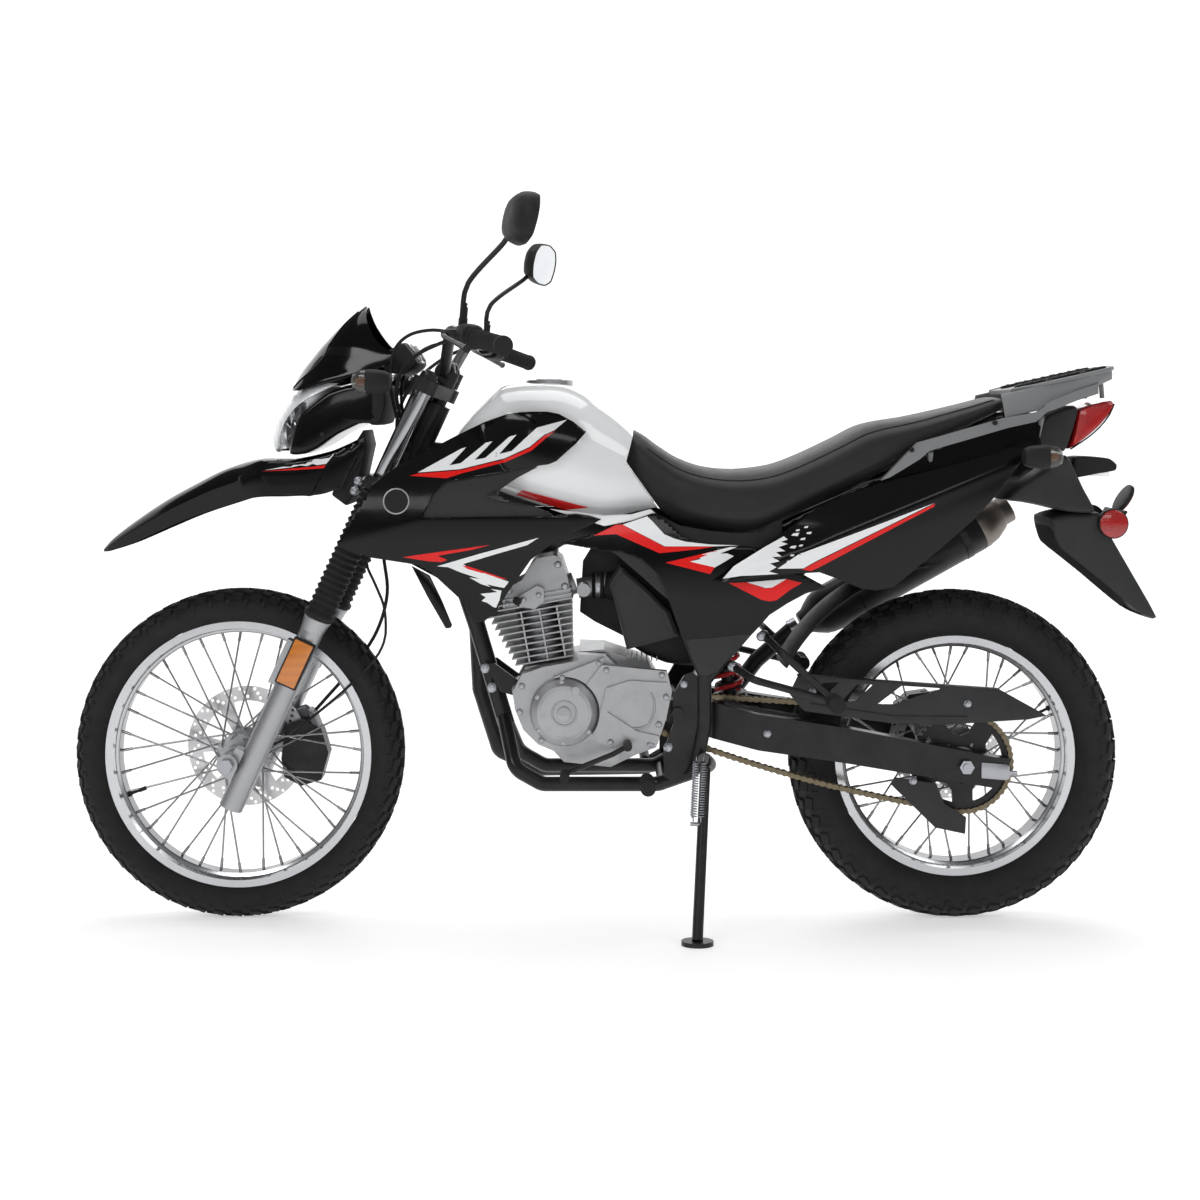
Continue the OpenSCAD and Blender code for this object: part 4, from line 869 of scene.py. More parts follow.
def tyre(end, axle, size, pitches, knobs):
    """A block-tread tyre: a closed carcass, then rows of raised blocks and wall trim."""
    name, (r, w, rim_r) = end + "_tyre_tread", size
    crown = (r - rim_r) * CROWN_SHARE
    mid = r - crown
    tread_depth = 6.5

    def carcass_point(degrees):
        c, s = math.cos(math.radians(degrees)), math.sin(math.radians(degrees))
        return w / 2 * c, mid + (crown - tread_depth * (0.35 + 0.65 * max(0, s))) * s

    wall = [carcass_point(a) for a in range(200, -21, -7)]
    bead = w / 2 * 0.66
    profile = (
        [(-bead, rim_r + 1), (-bead - 4, rim_r + 3)]
        + wall
        + [(bead + 4, rim_r + 3), (bead, rim_r + 1), (bead - 8, rim_r + 3)]
        + [(y * 0.86, mid + (q - mid) * 0.86) for y, q in reversed(wall[2:-2])]
        + [(8 - bead, rim_r + 3), (-bead, rim_r + 1)]
    )
    parts = [turned(name + "_carcass", profile, axle, 128)]
    for share, rise in ((0.86, 0.36), (0.93, 0.2)):
        y, q = w / 2 * share, mid + crown * math.sin(math.acos(share)) * 0.6 + rise * 6
        for s in (-1, 1):
            band = [(s * y, q - 1.2), (s * (y + 1.4), q), (s * y, q + 1.2), (s * y, q - 1.2)]
            parts.append(turned(name + "_ring", band, axle, 96))
    for across, long, wide, deep, skew, stagger in knobs:
        knob = knob_shape(name + "_knob", long, wide, deep, skew)
        a = math.radians(90 - abs(across))
        y = math.copysign(w / 2 * math.cos(a), across)
        reach = mid + (crown - deep / 2 + 0.3) * math.sin(a)
        seat = (
            Matrix.Translation((0, y * 0.955, reach))
            @ Matrix.Rotation(-math.radians(across * 0.92), 4, "X")
        )
        for i in range(pitches):
            turn = Matrix.Rotation(2 * math.pi * (i + stagger) / pitches, 4, "Y")
            parts.append(copied(knob, "knob", Matrix.Translation((axle[0], 0, axle[1])) @ turn @ seat))
        bpy.data.objects.remove(knob)
    node = end + "_tyre"
    hand_over(joined(name, parts), end + "_wheel", "tyre", OWN_FINISH[node], (node,), 32)


# each row of blocks: degrees across from the middle, length, width, depth, skew, stagger
FRONT_KNOBS = [
    (0, 27, 15, 8, 0, 0.0), (22, 21, 12, 8, 14, 0.5), (-22, 21, 12, 8, -14, 0.5),
    (47, 24, 15, 8, 20, 0.02), (-47, 24, 15, 8, -20, 0.02),
    (70, 10, 15, 6, 8, 0.5), (-70, 10, 15, 6, -8, 0.5),
]
REAR_KNOBS = [
    (9, 25, 15, 9, 12, 0.0), (-9, 25, 15, 9, -12, 0.5), (29, 24, 15, 9, 16, 0.5), (-29, 24, 15, 9, -16, 0.0),
    (52, 27, 18, 9, 22, 0.06), (-52, 27, 18, 9, -22, 0.06),
    (73, 11, 18, 6, 8, 0.55), (-73, 11, 18, 6, -8, 0.55),
]
tyre("front", FRONT_AXLE, FRONT_TYRE, 54, FRONT_KNOBS)
tyre("rear", REAR_AXLE, REAR_TYRE, 50, REAR_KNOBS)


# ---------- tank ----------

SEAT_LINE = [(67, 1000), (66, 960), (49, 898), (115, 806), (163, 777)]


def tank():
    rings = []
    for i in range(52):
        x = -280 + 404 * i / 51
        lo, hi, half = eased(x, TANK_FOOT), eased(x, TANK_TOP), eased(x, TANK_HALF)
        middle = Vector((x, 0, (lo + hi) / 2))
        rings.append(ring(middle, Y * half, Z * (hi - lo) / 2, 1, 72, TANK_SQUARE, 0.5))
    shell = loft("fuel_tank_shell", rings)
    tunnel = plate("tool", [(-320, 690), (-320, 952), (-100, 914), (140, 900), (140, 690)], -32, 32)
    combine(shell, tunnel)
    tunnel = plate("tool", [(-130, 690), (-90, 868), (140, 884), (140, 690)], -86, 86)
    combine(shell, tunnel)
    behind = plate("tool", SEAT_LINE + [(200, 760), (200, 1000)], -220, 220)
    combine(shell, behind)
    well = rod("tool", (-100, 0, 1046), (-100, 0, 1080), 47.5, 64)
    combine(shell, well)
    soften(shell, 2.5, 3, 42)
    hand_over(shell, "chassis", "white_paint", nodes=("fuel_tank",), angle=50)
    band = [(-162, 836), (-148, 846), (-22, 813), (-67, 807)]
    line = panel("tank_stripe", band, tank_y, 1.6, 1.2, 3.0, 0.3)
    pair(line, "chassis", "white_paint", SIGNAL_RED, angle=30)
    flange = plate("tank_side_flange", [
        (-96, 812), (-40, 806), (6, 800), (60, 802), (96, 812), (106, 803), (64, 790), (8, 779), (-14, 787),
        (-60, 800)], -138, -128, 3)
    pair(flange, "chassis", "white_paint")


SIGNAL_RED = gloss_panel("signal_red_sticker", (0.76, 0.010, 0.008), 0.2, 0.2)
STRIPE_WHITE = gloss_panel("white_sticker", (0.84, 0.85, 0.86), 0.3, 0.2)
tank()


# ---------- shrouds ----------

SHROUD = [
    (-488, 747), (-457, 806), (-425, 860), (-396, 884), (-366, 901), (-267, 953), (-220, 976), (-176, 991),
    (-150, 995),
    (-128, 996), (-100, 996), (-78, 992), (-50, 977), (-26, 958), (-45, 936), (-82, 903), (-97, 897),
    (-115, 895),
    (-155, 872), (-187, 850), (-190, 843), (-182, 835), (-130, 818), (-100, 809), (-87, 799), (-46, 804),
    (-20, 800),
    (2, 793), (-8, 787), (-87, 750), (-130, 717), (-170, 660), (-202, 611), (-220, 597), (-236, 594),
    (-262, 640),
    (-306, 684), (-353, 711), (-427, 724)]
INSERT = [
    (-334, 796), (-327, 813), (-312, 843), (-290, 865), (-240, 874), (-180, 884), (-116, 893), (-155, 872),
    (-187, 850),
    (-214, 837), (-190, 829), (-122, 817), (-102, 809), (-87, 798)]


def crease_y(x, z):
    """The shroud's face: a hard crease runs back from its nose, the part below drawn in."""
    y = shroud_y(x, z)
    line = 747 + (x + 488) * 0.32 if x < -334 else 796
    if z < line:
        y -= min(9.0, (line - z) * 0.10)
    return y


def ring_points(x, z, r, n):
    return [(x + r * math.cos(2 * math.pi * k / n), z + r * math.sin(2 * math.pi * k / n)) for k in range(n)]


def shrouds():
    shell = panel("tank_shroud_shell", SHROUD, crease_y, 0, 3.2, 7.0)
    combine(shell, plate("tool", INSERT, -230, -40))
    pair(shell, "chassis", "black_gloss", nodes=("tank_shrouds",), angle=42)
    inset = [(x + (-200 - x) * 0.012, z + (840 - z) * 0.02) for x, z in INSERT]

    def insert_face(x, z):
        return shroud_y(x, z) - 7 + 3.5 * math.exp(-((z - 838) / 26) ** 2)

    inner = panel("shroud_insert", inset, insert_face, 0, 3, 7.0)
    pair(inner, "chassis", "black_plastic", "grey_plastic", angle=42)
    blade = [(-352, 708), (-318, 690), (-296, 645), (-276, 597), (-279, 592), (-288, 591), (-300, 612),
        (-322, 650)]
    pair(plate("shroud_blade", blade, -170, -164, 1.5), "chassis", "black_gloss")
    disc = panel("badge_blank", ring_points(*BADGE, 22, 40), crease_y, 0.6, 1.2, 6.0, 0.4)
    pair(disc, "chassis", "black_gloss", "black_plastic")
    rim = panel("badge_ring", ring_points(*BADGE, 24.5, 48), crease_y, 0.9, 1.6, 6.0, 0.5)
    combine(rim, plate("tool", ring_points(*BADGE, 22, 48), -300, -100))
    pair(rim, "chassis", "alloy")


BADGE = (-380, 829)
shrouds()
SHROUD_MARKS = [
    ("shroud_chevron", STRIPE_WHITE, [
        (-306, 706), (-230, 728), (-115, 759), (-137, 745), (-200, 727), (-257, 710), (-246, 702),
        (-172, 675),
        (-181, 663), (-200, 667), (-214, 671), (-206, 665), (-224, 671), (-246, 684), (-226, 681),
        (-262, 694),
        (-285, 704)]),
    ("shroud_torn_patch", STRIPE_WHITE, [
        (-186, 658), (-206, 661), (-194, 655), (-226, 652), (-216, 645), (-224, 638), (-213, 634),
        (-203, 626),
        (-197, 624), (-190, 640)]),
    ("shroud_thin_chevron", SIGNAL_RED, [(-259, 707), (-246, 705), (-176, 680), (-183, 680), (-248, 700)]),
    ("shroud_arrow", SIGNAL_RED, [
        (-368, 724), (-342, 728), (-290, 735), (-206, 746), (-240, 737), (-304, 726), (-286, 718),
        (-297, 714),
        (-323, 716), (-345, 720)]),
    ("shroud_slash_white", STRIPE_WHITE, [
        (-341, 882), (-262, 926), (-252, 929), (-283, 895), (-262, 899), (-216, 937), (-203, 940),
        (-236, 905),
        (-216, 909), (-170, 949), (-156, 953), (-190, 916), (-166, 922), (-118, 966), (-62, 981), (-84, 962),
        (-104, 953), (-132, 930), (-180, 908), (-262, 888)]),
    ("shroud_slash_red", SIGNAL_RED, [
        (-356, 876), (-341, 880), (-262, 886), (-180, 906), (-132, 928), (-104, 951), (-84, 960), (-98, 949),
        (-128, 923), (-178, 901), (-260, 880), (-288, 871)]),
]
for name, finish, outline in SHROUD_MARKS:
    stripe(name, outline, crease_y, finish)


# ---------- side and tail covers ----------

SIDE_COVER = [
    (-75, 747), (20, 776), (60, 790), (98, 804), (106, 804), (130, 786), (150, 766), (187, 745), (230, 742),
    (284, 741),
    (330, 718), (430, 663), (390, 652), (355, 634), (320, 612), (297, 586), (260, 545), (219, 500),
    (187, 491),
    (170, 530), (155, 569), (122, 663), (104, 695), (75, 719), (40, 732), (6, 734)]
TAIL_COVER = [
    (214, 676), (263, 711), (340, 766), (415, 818), (470, 842), (526, 860), (690, 901), (821, 939),
    (790, 893),
    (754, 843), (705, 790), (655, 745), (600, 698), (558, 661), (525, 656), (494, 661), (450, 680),
    (412, 694),
    (360, 692), (300, 686)]


def side_face(x, z):
    """The side cover's face, its lower leg drawn in below a soft crease."""
    y = side_y(x, z)
    line = 655 - (x - 120) * 0.35
    if z < line:
        y -= min(8.0, (line - z) * 0.07)
    return y


def tail_face(x, z):
    """The tail cover's face: a long crease along its stripe and a scoop at its front."""
    y = tail_y(x, z)
    line = 700 + (x - 300) * 0.42
    y += 3.2 * math.exp(-(((z - line) / 16) ** 2))
    y -= 3.0 * math.exp(-(((x - 372) / 40) ** 2 + ((z - 775) / 22) ** 2))
    return y


def covers():
    for name, outline, face, step in (("side", SIDE_COVER, side_face, 7.0),
        ("tail", TAIL_COVER, tail_face, 8.0)):
        shell = panel(name + "_cover_shell", outline, face, 0, 3.2, step)
        pair(shell, "chassis", "black_gloss", nodes=(name + "_covers",), angle=42)


covers()
for name, finish, outline in (
    ("side_band_red", SIGNAL_RED, [
        (-12, 762), (30, 782.5), (42, 783), (121, 742), (216, 742), (188, 737.5), (112, 729.6), (44, 759),
        (30, 765)]),
    ("side_band_white", STRIPE_WHITE, [
        (43, 783), (89, 798.5), (98, 790), (121, 765), (140, 757), (162, 751), (207, 746), (262, 744),
        (234, 743),
        (216, 742.5), (122, 742.5)]),
    ("side_wedge_red", SIGNAL_RED, [(123, 712), (207, 732), (222, 734), (169, 714), (216, 703),
        (207, 690.6)]),
    ("side_wedge_white", STRIPE_WHITE, [
        (169, 714), (190, 719), (181, 724), (216, 734), (245, 741), (258, 741), (226, 729), (240, 729),
        (252, 724),
        (232, 712), (216, 703)]),
    ("side_vee_red", SIGNAL_RED, [
        (242, 673.5), (305, 641), (320, 638), (333, 640), (360, 660), (382, 672), (352, 680), (325, 664),
        (311, 663),
        (276, 674.5)]),
    ("side_vee_white", STRIPE_WHITE, [(277, 674.5), (352, 680), (325, 664.5), (312, 663.5)]),
):
    stripe(name, outline, side_face, finish)
for name, finish, outline in (
    ("tail_patch_white", STRIPE_WHITE, [
        (229, 684), (250, 707), (311, 744), (345, 762), (352, 756), (339, 752), (352, 748), (334, 742),
        (347, 735),
        (329, 733), (340, 725), (322, 724), (336, 716), (318, 712), (330, 705), (316, 697), (334, 692),
        (262, 689)]),
    ("tail_stripe_white", STRIPE_WHITE,
        [(332, 702), (372, 729), (450, 757), (540, 790), (630, 824), (404, 715), (381, 702)]),
    ("tail_stripe_red", SIGNAL_RED, [(379, 700), (383, 702), (406, 714), (631, 823), (629, 817), (410, 703),
        (396, 697)]),
):
    stripe(name, outline, tail_face, finish)
FLECKS = [
    (366, 765, 7), (380, 757, 5), (361, 742, 6), (376, 745, 4), (371, 773, 4), (392, 768, 5), (359, 727, 4),
    (387, 779, 4), (352, 716, 3)]
for i, (x, z, size) in enumerate(FLECKS):
    corners = ((-1, -1.5 / size), (-0.4, 0.35), (1.2, 0.5), (0.7, -0.4))
    stripe(f"tail_fleck_{i}", [(x + dx * size, z + dz * size) for dx, dz in corners], tail_face, STRIPE_WHITE)


# ---------- seat ----------

SEAT_RINGS = [
    (44, 60, 850, 972), (67, 84, 830, 960), (88, 94, 806, 948), (112, 102, 792, 930), (150, 114, 772, 906),
    (200, 126, 764, 888), (255, 132, 758, 882), (301, 134, 759, 885), (341, 133, 776, 892),
    (390, 128, 799, 910),
    (462, 124, 834, 944), (517, 121, 860, 971), (610, 115, 908, 988), (712, 103, 964, 1011),
    (765, 90, 990, 1024),
    (784, 76, 1000, 1022)]
SEAT_HALF = [(r[0], r[1]) for r in SEAT_RINGS]
SEAT_LOW = [(r[0], r[2]) for r in SEAT_RINGS]
SEAT_TOP = [(r[0], r[3]) for r in SEAT_RINGS]


def seat_section(x, a):
    """A point of the seat at x and angle a: a crowned top, full sides, a tucked lower edge."""
    half, lo, hi = eased(x, SEAT_HALF), eased(x, SEAT_LOW), eased(x, SEAT_TOP)
    y, z = root(math.cos(a), 3.1), root(math.sin(a), 3.1)
    mid, rise = lo + (hi - lo) * 0.46, (hi - lo) * 0.54
    up = mid + (rise if z > 0 else (mid - lo)) * z
    tuck = 1 - 0.10 * max(0, -z) ** 2 - 0.16 * max(0, z) ** 3
    return Vector((x, half * y * tuck, up))


def seat():
    rings = []
    for i in range(70):
        x = 46 + 737 * (0.5 - 0.5 * math.cos(math.pi * (0.06 + 0.88 * i / 69)))
        rings.append([seat_section(x, 2 * math.pi * (k + 0.5) / 80) for k in range(80)])
    cushion = loft("seat_cushion", rings)
    ahead = [(SEAT_LINE[0][0] - 40, SEAT_LINE[0][1]), (-60, 700), (300, 700)]
    ahead += [(x + 2, z) for x, z in reversed(SEAT_LINE)]
    combine(cushion, plate("tool", ahead, -220, 220))
    soften(cushion, 5, 3, 45)
    hand_over(cushion, "chassis", "seat_vinyl", nodes=("seat",), angle=50)
    for s, word in ((-1, "left"), (1, "right")):
        line = []
        for i in range(60):
            p = seat_section(92 + 668 * i / 59, math.radians(90 - s * 52))
            line.append((p.x, p.y * 1.002, p.z + 0.4))
        hand_over(tube("seat_seam_" + word, line, 1.3, 8), "chassis", "seat_vinyl")


seat()


# ---------- front fender ----------

FENDER = [
    (-982, 6, 719, 725), (-965, 20, 721, 744), (-920, 36, 736, 779), (-859, 50, 763, 820),
    (-798, 60, 789, 854),
    (-739, 67, 809, 883), (-669, 71, 829, 903), (-598, 72, 832, 904), (-530, 71, 838, 918),
    (-490, 69, 862, 934),
    (-458, 64, 912, 950)]
FENDER_HALF = [(s[0], s[1]) for s in FENDER]
FENDER_LOW = [(s[0], s[2]) for s in FENDER]
FENDER_TOP = [(s[0], s[3]) for s in FENDER]
PEAKED = [(0.0, 0.90), (0.28, 0.955), (0.53, 1.0), (0.60, 0.955), (0.80, 0.70), (0.93, 0.40), (0.985, 0.16),
    (1.0, 0.0)]
BOXED = [(0.0, 0.97), (0.3, 0.99), (0.6, 1.0), (0.9, 0.985), (0.955, 0.93), (0.985, 0.80), (1.0, 0.4),
    (1.006, 0.0)]


def easing(t):
    t = min(1.0, max(0.0, t))
    return t * t * (3 - 2 * t)


def fender_section(x):
    """Half the fender's section at x as (height share, width share) points."""
    k = easing((x + 720) / 90)
    return [(a[0] + (b[0] - a[0]) * k, a[1] + (b[1] - a[1]) * k) for a, b in zip(PEAKED, BOXED)]


def fender_y(x, z):
    lo, hi = eased(x, FENDER_LOW), eased(x, FENDER_TOP)
    return eased(x, FENDER_HALF) * lookup((z - lo) / (hi - lo), fender_section(x))


def front_fender():
    def at(u, v):
        x = -981 + 523 * v
        section = fender_section(x)
        section = section + [(h, -w) for h, w in reversed(section[:-1])]
        h, w = section[round(u * (len(section) - 1))]
        lo, hi = eased(x, FENDER_LOW), eased(x, FENDER_TOP)
        return Vector((x, w * eased(x, FENDER_HALF), lo + (hi - lo) * h))

    skin = web("front_fender_shell", 14, 76, at)
    face_outwards(skin)
    turn_faces(skin, lambda p: p.normal.y * p.center.y)
    thicken(skin, 2.6)
    hand_over(skin, "steering", "black_gloss", nodes=("front_fender",), angle=24)
    side = panel("fender_side_panel", [
        (-655, 871), (-634, 837), (-561, 832), (-500, 847), (-470, 905), (-464, 930), (-478, 930),
        (-512, 917),
        (-566, 902), (-610, 895), (-650, 890)], fender_y, 1.4, 1.8, 4.0, 0.6)
    pair(side, "steering", "black_gloss", angle=40)
    rear = panel("fender_rear_edge", [
        (-561, 833), (-500, 848), (-471, 905), (-463, 939), (-470, 940), (-509, 918), (-535, 880)],
        fender_y, 2.6, 1.4, 8.0, 0.6)
    pair(rear, "steering", "black_gloss", angle=40)
    for name, finish, out, outline in (
        ("fender_wedge_white", STRIPE_WHITE, 1.9, [
            (-648, 882.5), (-612, 889.5), (-598, 889), (-590, 894), (-576, 894), (-570, 898), (-556, 899),
            (-562, 901.5), (-538, 907), (-514, 914), (-529, 895), (-547, 892.5), (-556, 895), (-566, 890.6),
            (-580, 892),
            (-596, 888.2)]),
        ("fender_wedge_red", SIGNAL_RED, 2.0,
            [(-655, 880.5), (-560, 889), (-530, 892.6), (-534, 886.6), (-590, 883)]),
    ):
        stripe(name, outline, fender_y, finish, "steering", out)
    lug = plate("fender_bracket", [
        (-459, 962), (-452, 930), (-463, 880), (-471, 842), (-492, 812), (-522, 834), (-506, 872),
        (-474, 938)],
        -60, 60, 4)
    hand_over(lug, "steering", "black_plastic")
    seats = [(-469, 862), (-476, 843)]
    bolts("fender_bolts", "steering", facing(-1, 60.5, 13, seats) + facing(1, 60.5, 13, seats))


front_fender()


# ---------- headlight and cowl ----------

ROUNDED = [(0, 1.0), (0.5, 0.997), (0.78, 0.985), (0.9, 0.96), (0.965, 0.92), (0.995, 0.86), (1.0, 0.78),
    (1.01, 0.45), (1.012, 0.1)]


def outline_curve(points, n):
    """A closed outline of (x, z) softened between its points, n steps to a side."""
    out = []
    for i in range(len(points)):
        p0, p1, p2, p3 = (Vector(points[(i + k) % len(points)]) for k in (-1, 0, 1, 2))
        for k in range(n):
            hard = p1 + (p2 - p1) * (k / n)
            out.append(tuple(hard + (bend(p0, p1, p2, p3, k / n) - hard) * 0.55))
    return out


def pillow(name, outline, half, n=4):
    """A closed form: an outline of (x, z) carried across, drawn in towards both sides."""
    curve = outline_curve(outline, n)
    cx = sum(p[0] for p in curve) / len(curve)
    cz = sum(p[1] for p in curve) / len(curve)
    ways = [(-y, k) for y, k in reversed(ROUNDED)] + ROUNDED[1:]
    rings = [[Vector((cx + (x - cx) * k, y * half, cz + (z - cz) * k)) for x, z in curve] for y, k in ways]
    return loft(name, rings)


BUCKET = [
    (-600, 914), (-575, 913), (-545, 926), (-505, 952), (-462, 972), (-424, 975), (-416, 1010), (-420, 1046),
    (-455, 1052),
    (-486, 1048), (-520, 1036), (-556, 1010), (-580, 988), (-592, 960)]
LENS = [
    (918, -640, -624, 44), (930, -645, -622, 58), (950, -643, -619, 74), (984, -630, -602, 88),
    (1010, -615, -577, 95),
    (1032, -598, -540, 96), (1050, -585, -502, 94)]
COWL = [
    (1038, -606, -566, 92), (1056, -600, -500, 104), (1077, -588, -426, 106), (1103, -568, -394, 102),
    (1126, -549, -424, 90),
    (1165, -512, -450, 62), (1190, -482, -458, 36), (1203, -465, -459, 16)]


def visor_point(rows, a, z, inset=0.0):
    """A point of a curved front: a from 90 at one side, through 180 in front, to 270."""
    x_f = eased(z, [(r[0], r[1]) for r in rows]) + inset
    x_s = eased(z, [(r[0], r[2]) for r in rows])
    w = eased(z, [(r[0], r[3]) for r in rows]) - inset
    c, s = math.cos(math.radians(a)), math.sin(math.radians(a))
    return Vector((x_s + (x_s - x_f) * root(c, 2.2), w * root(s, 2.2), z))


def visor(name, rows, wall, a0=90, a1=270, inset=0.0, columns=64, rings=40, z0=None, z1=None):
    low, high = z0 or rows[0][0], z1 or rows[-1][0]

    def at(u, v):
        return visor_point(rows, a0 + (a1 - a0) * u, low + (high - low) * v, inset)

    skin = web(name, columns, rings, at)
    turn_faces(skin, lambda p: -p.normal.x)
    thicken(skin, wall)
    return skin


def headlight():
    bucket = pillow("headlight_bucket", BUCKET, 96)
    hand_over(bucket, "steering", "black_gloss", nodes=("headlight",), angle=50)
    back = pillow("headlight_back", [(-446, 973), (-421, 973), (-412, 1010), (-416, 1047), (-446, 1051)], 95)
    hand_over(back, "steering", "rubber", angle=50)
    glass = visor("headlight_glass", LENS, 2.4)
    hand_over(glass, "steering", "lamp_glass", nodes=("headlight_lens",), angle=50)
    bowl = visor("headlight_reflector", LENS, 1.6, 92, 268, 9, 88, 40, 921, 1046)
    hand_over(bowl, "steering", "alloy", REFLECTOR, angle=25)
    rim = visor("headlight_lens_rim", LENS, 3.5, 90, 270, 2.6, 64, 3, 917, 922)
    hand_over(rim, "steering", "black_gloss")
    for s, word in ((-1, "l"), (1, "r")):
        for z in (958, 1004):
            centre = (-609 + (z - 958) * 0.33, s * 34, z)
            cup = turned_x(f"headlight_lamp_{word}_{z}", [(0, 25), (-5, 24), (-6, 22), (0, 11), (4, 6)],
                centre)
            hand_over(cup, "steering", "alloy", REFLECTOR, angle=30)
    screws = [facing(s, 96.5, 8, [(-532, 952)], "socket")[0] for s in (-1, 1)]
    bolts("headlight_screws", "steering", screws, "dark_steel")


def body_fillers():
    """Inner panels that close the gaps between covers, seat, tank and airbox."""
    lip = panel("side_cover_lip", [
        (-30, 738), (4, 740), (30, 727), (56, 705), (83, 682), (110, 657), (131, 640), (142, 621), (152, 590),
        (162, 560),
        (176, 540), (160, 620), (128, 690), (92, 726), (50, 741), (0, 744)], side_face, -3.6, 3, 6.0)
    pair(lip, "chassis", "black_gloss", "grey_plastic", angle=42)
    pan = panel("seat_pan_edge", [
        (92, 812), (112, 800), (150, 781), (200, 772), (255, 766), (301, 768), (345, 788), (345, 740),
        (284, 736),
        (187, 739), (150, 758), (118, 782)], side_face, -5.5, 3, 8.0)
    pair(pan, "chassis", "black_gloss", "black_plastic", angle=42)
    inner = panel("tail_inner_panel", [
        (262, 712), (300, 742), (341, 778), (390, 803), (462, 838), (517, 864), (610, 912), (712, 968),
        (765, 993), (842, 994),
        (836, 950), (842, 925), (824, 886), (798, 868), (770, 862), (740, 880), (690, 888), (526, 847),
        (415, 806), (340, 752), (280, 706)],
        lambda x, z: 119 - 0.004 * (x - 300), 0, 3, 12.0)
    pair(inner, "chassis", "black_gloss", angle=42)
    body = pillow("airbox_body", [
        (34, 700), (62, 732), (130, 742), (178, 730), (196, 640), (200, 540), (190, 500), (128, 505),
        (64, 536), (44, 600)], 60)
    hand_over(body, "chassis", "black_plastic", angle=40)
    shield = plate("intake_shield", [
        (-40, 600), (-34, 700), (-18, 726), (40, 738), (70, 730), (70, 540), (30, 560), (-10, 580)], -5, 5, 2)
    hand_over(shield, "chassis", "black_plastic")

    def guard_at(u, v):
        a = math.radians(98 + 54 * u)
        across = 2 * v - 1
        r = 386 - 7 * across * across
        return Vector((REAR_AXLE[0] + r * math.cos(a), 72 * across, REAR_AXLE[1] + r * math.sin(a)))

    guard = web("inner_mudguard", 40, 10, guard_at)
    face_outwards(guard)
    thicken(guard, 3, 0)
    hand_over(guard, "chassis", "black_plastic", angle=50)
    gusset = plate("spine_gusset", [(-150, 770), (-60, 790), (20, 784), (40, 760), (-10, 742), (-70, 734),
        (-120, 706), (-150, 724)], -30, 30, 4)
    hand_over(gusset, "chassis", "frame_paint")
    foot = panel("side_cover_foot", [(163, 565), (224, 570), (279, 576), (286, 574), (262, 545), (222, 503),
        (206, 495), (190, 495), (174, 531)], side_face, 0.6, 1.6, 7.0, 0.5)
    pair(foot, "chassis", "black_gloss", "grey_plastic", angle=30)


def cowl():
    left = visor("cowl_side_l", COWL, 2.8, 90, 142, 0, 22, 44)
    right = visor("cowl_side_r", COWL, 2.8, 218, 270, 0, 22, 44)
    hand_over(joined("cowl_sides", [left, right]), "steering", "black_gloss", nodes=("cowl",), angle=50)
    screen = visor("cowl_screen", COWL, 2.8, 143, 217, 1.2, 40, 44)
    hand_over(screen, "steering", "black_gloss", SMOKED, angle=50)
    ridge = [visor_point(COWL, 142.5, 1042 + 150 * i / 29) for i in range(30)]
    both = [tube("cowl_ridge", [(p.x, s * p.y, p.z) for p in ridge], 1.8, 8) for s in (1, -1)]
    hand_over(joined("cowl_ridge", both), "steering", "black_gloss", angle=50)
    hood = pillow("dash_hood", [(-430, 1098), (-404, 1118), (-378, 1130), (-350, 1090), (-376, 1068),
        (-412, 1072)], 78)
    hand_over(hood, "steering", "black_plastic", nodes=("instrument_cluster",), angle=45)


def signals():
    for end, body, (x, y, z), way in (("front", "steering", (-424, 188, 1052), -1),
        ("rear", "chassis", (822, 184, 912), 1)):
        shells, lenses, bulbs = [], [], []
        for s in (-1, 1):
            centre = (x, s * y, z)
            pod = [(-way * 37, 6), (-way * 35, 15), (-way * 24, 20.5), (way * 2, 23), (way * 8, 22.6),
                (way * 8.5, 19)]
            shells.append(lathe("shell", pod, centre))
            glass = [(way * 8.8, 20), (way * 9, 22.2), (way * 22, 21), (way * 33, 14), (way * 37, 5)]
            lenses.append(lathe("lens", glass, centre))
            bulbs.append(lathe("bulb", [(way * 2, 3), (way * 14, 8), (way * 24, 8), (way * 30, 3)], centre,
                2))
            stem = [(x + 4, s * (y - 86), z), (x + 3, s * (y - 55), z), (x + 1, s * (y - 20), z)]
            shells.append(tube("stem", stem, lambda t: 8.2 - 1.6 * math.sin(math.pi * t), 14))
        hand_over(joined(end + "_signal_shells", shells), body, "black_plastic", nodes=(end + "_signals",),
            angle=45)
        hand_over(joined(end + "_signal_lenses", lenses), body, "lamp_glass", SMOKED_CLEAR, angle=50)
        hand_over(joined(end + "_signal_bulbs", bulbs), body, "red_lens", AMBER, angle=50)


REFLECTOR = cast_metal("bright_reflector", (0.84, 0.85, 0.87), 0.3, 300.0, (0.7, 0.7, 0.72), 0.55)
SMOKED = gloss_panel("smoked_screen", (0.012, 0.0095, 0.008), 1.0, 0.08)
SMOKED_CLEAR = clear_lens("smoked_lens", (0.09, 0.085, 0.08), 0.05, 0.62)
AMBER = lit_lens("amber_lens", (0.75, 0.22, 0.02), 300.0)
body_fillers()
headlight()
cowl()
signals()


# ---------- fork, brake and front wheel trim ----------


FORK_PLACE = PARKED @ ON_FORK
LEG_SETBACK = -28


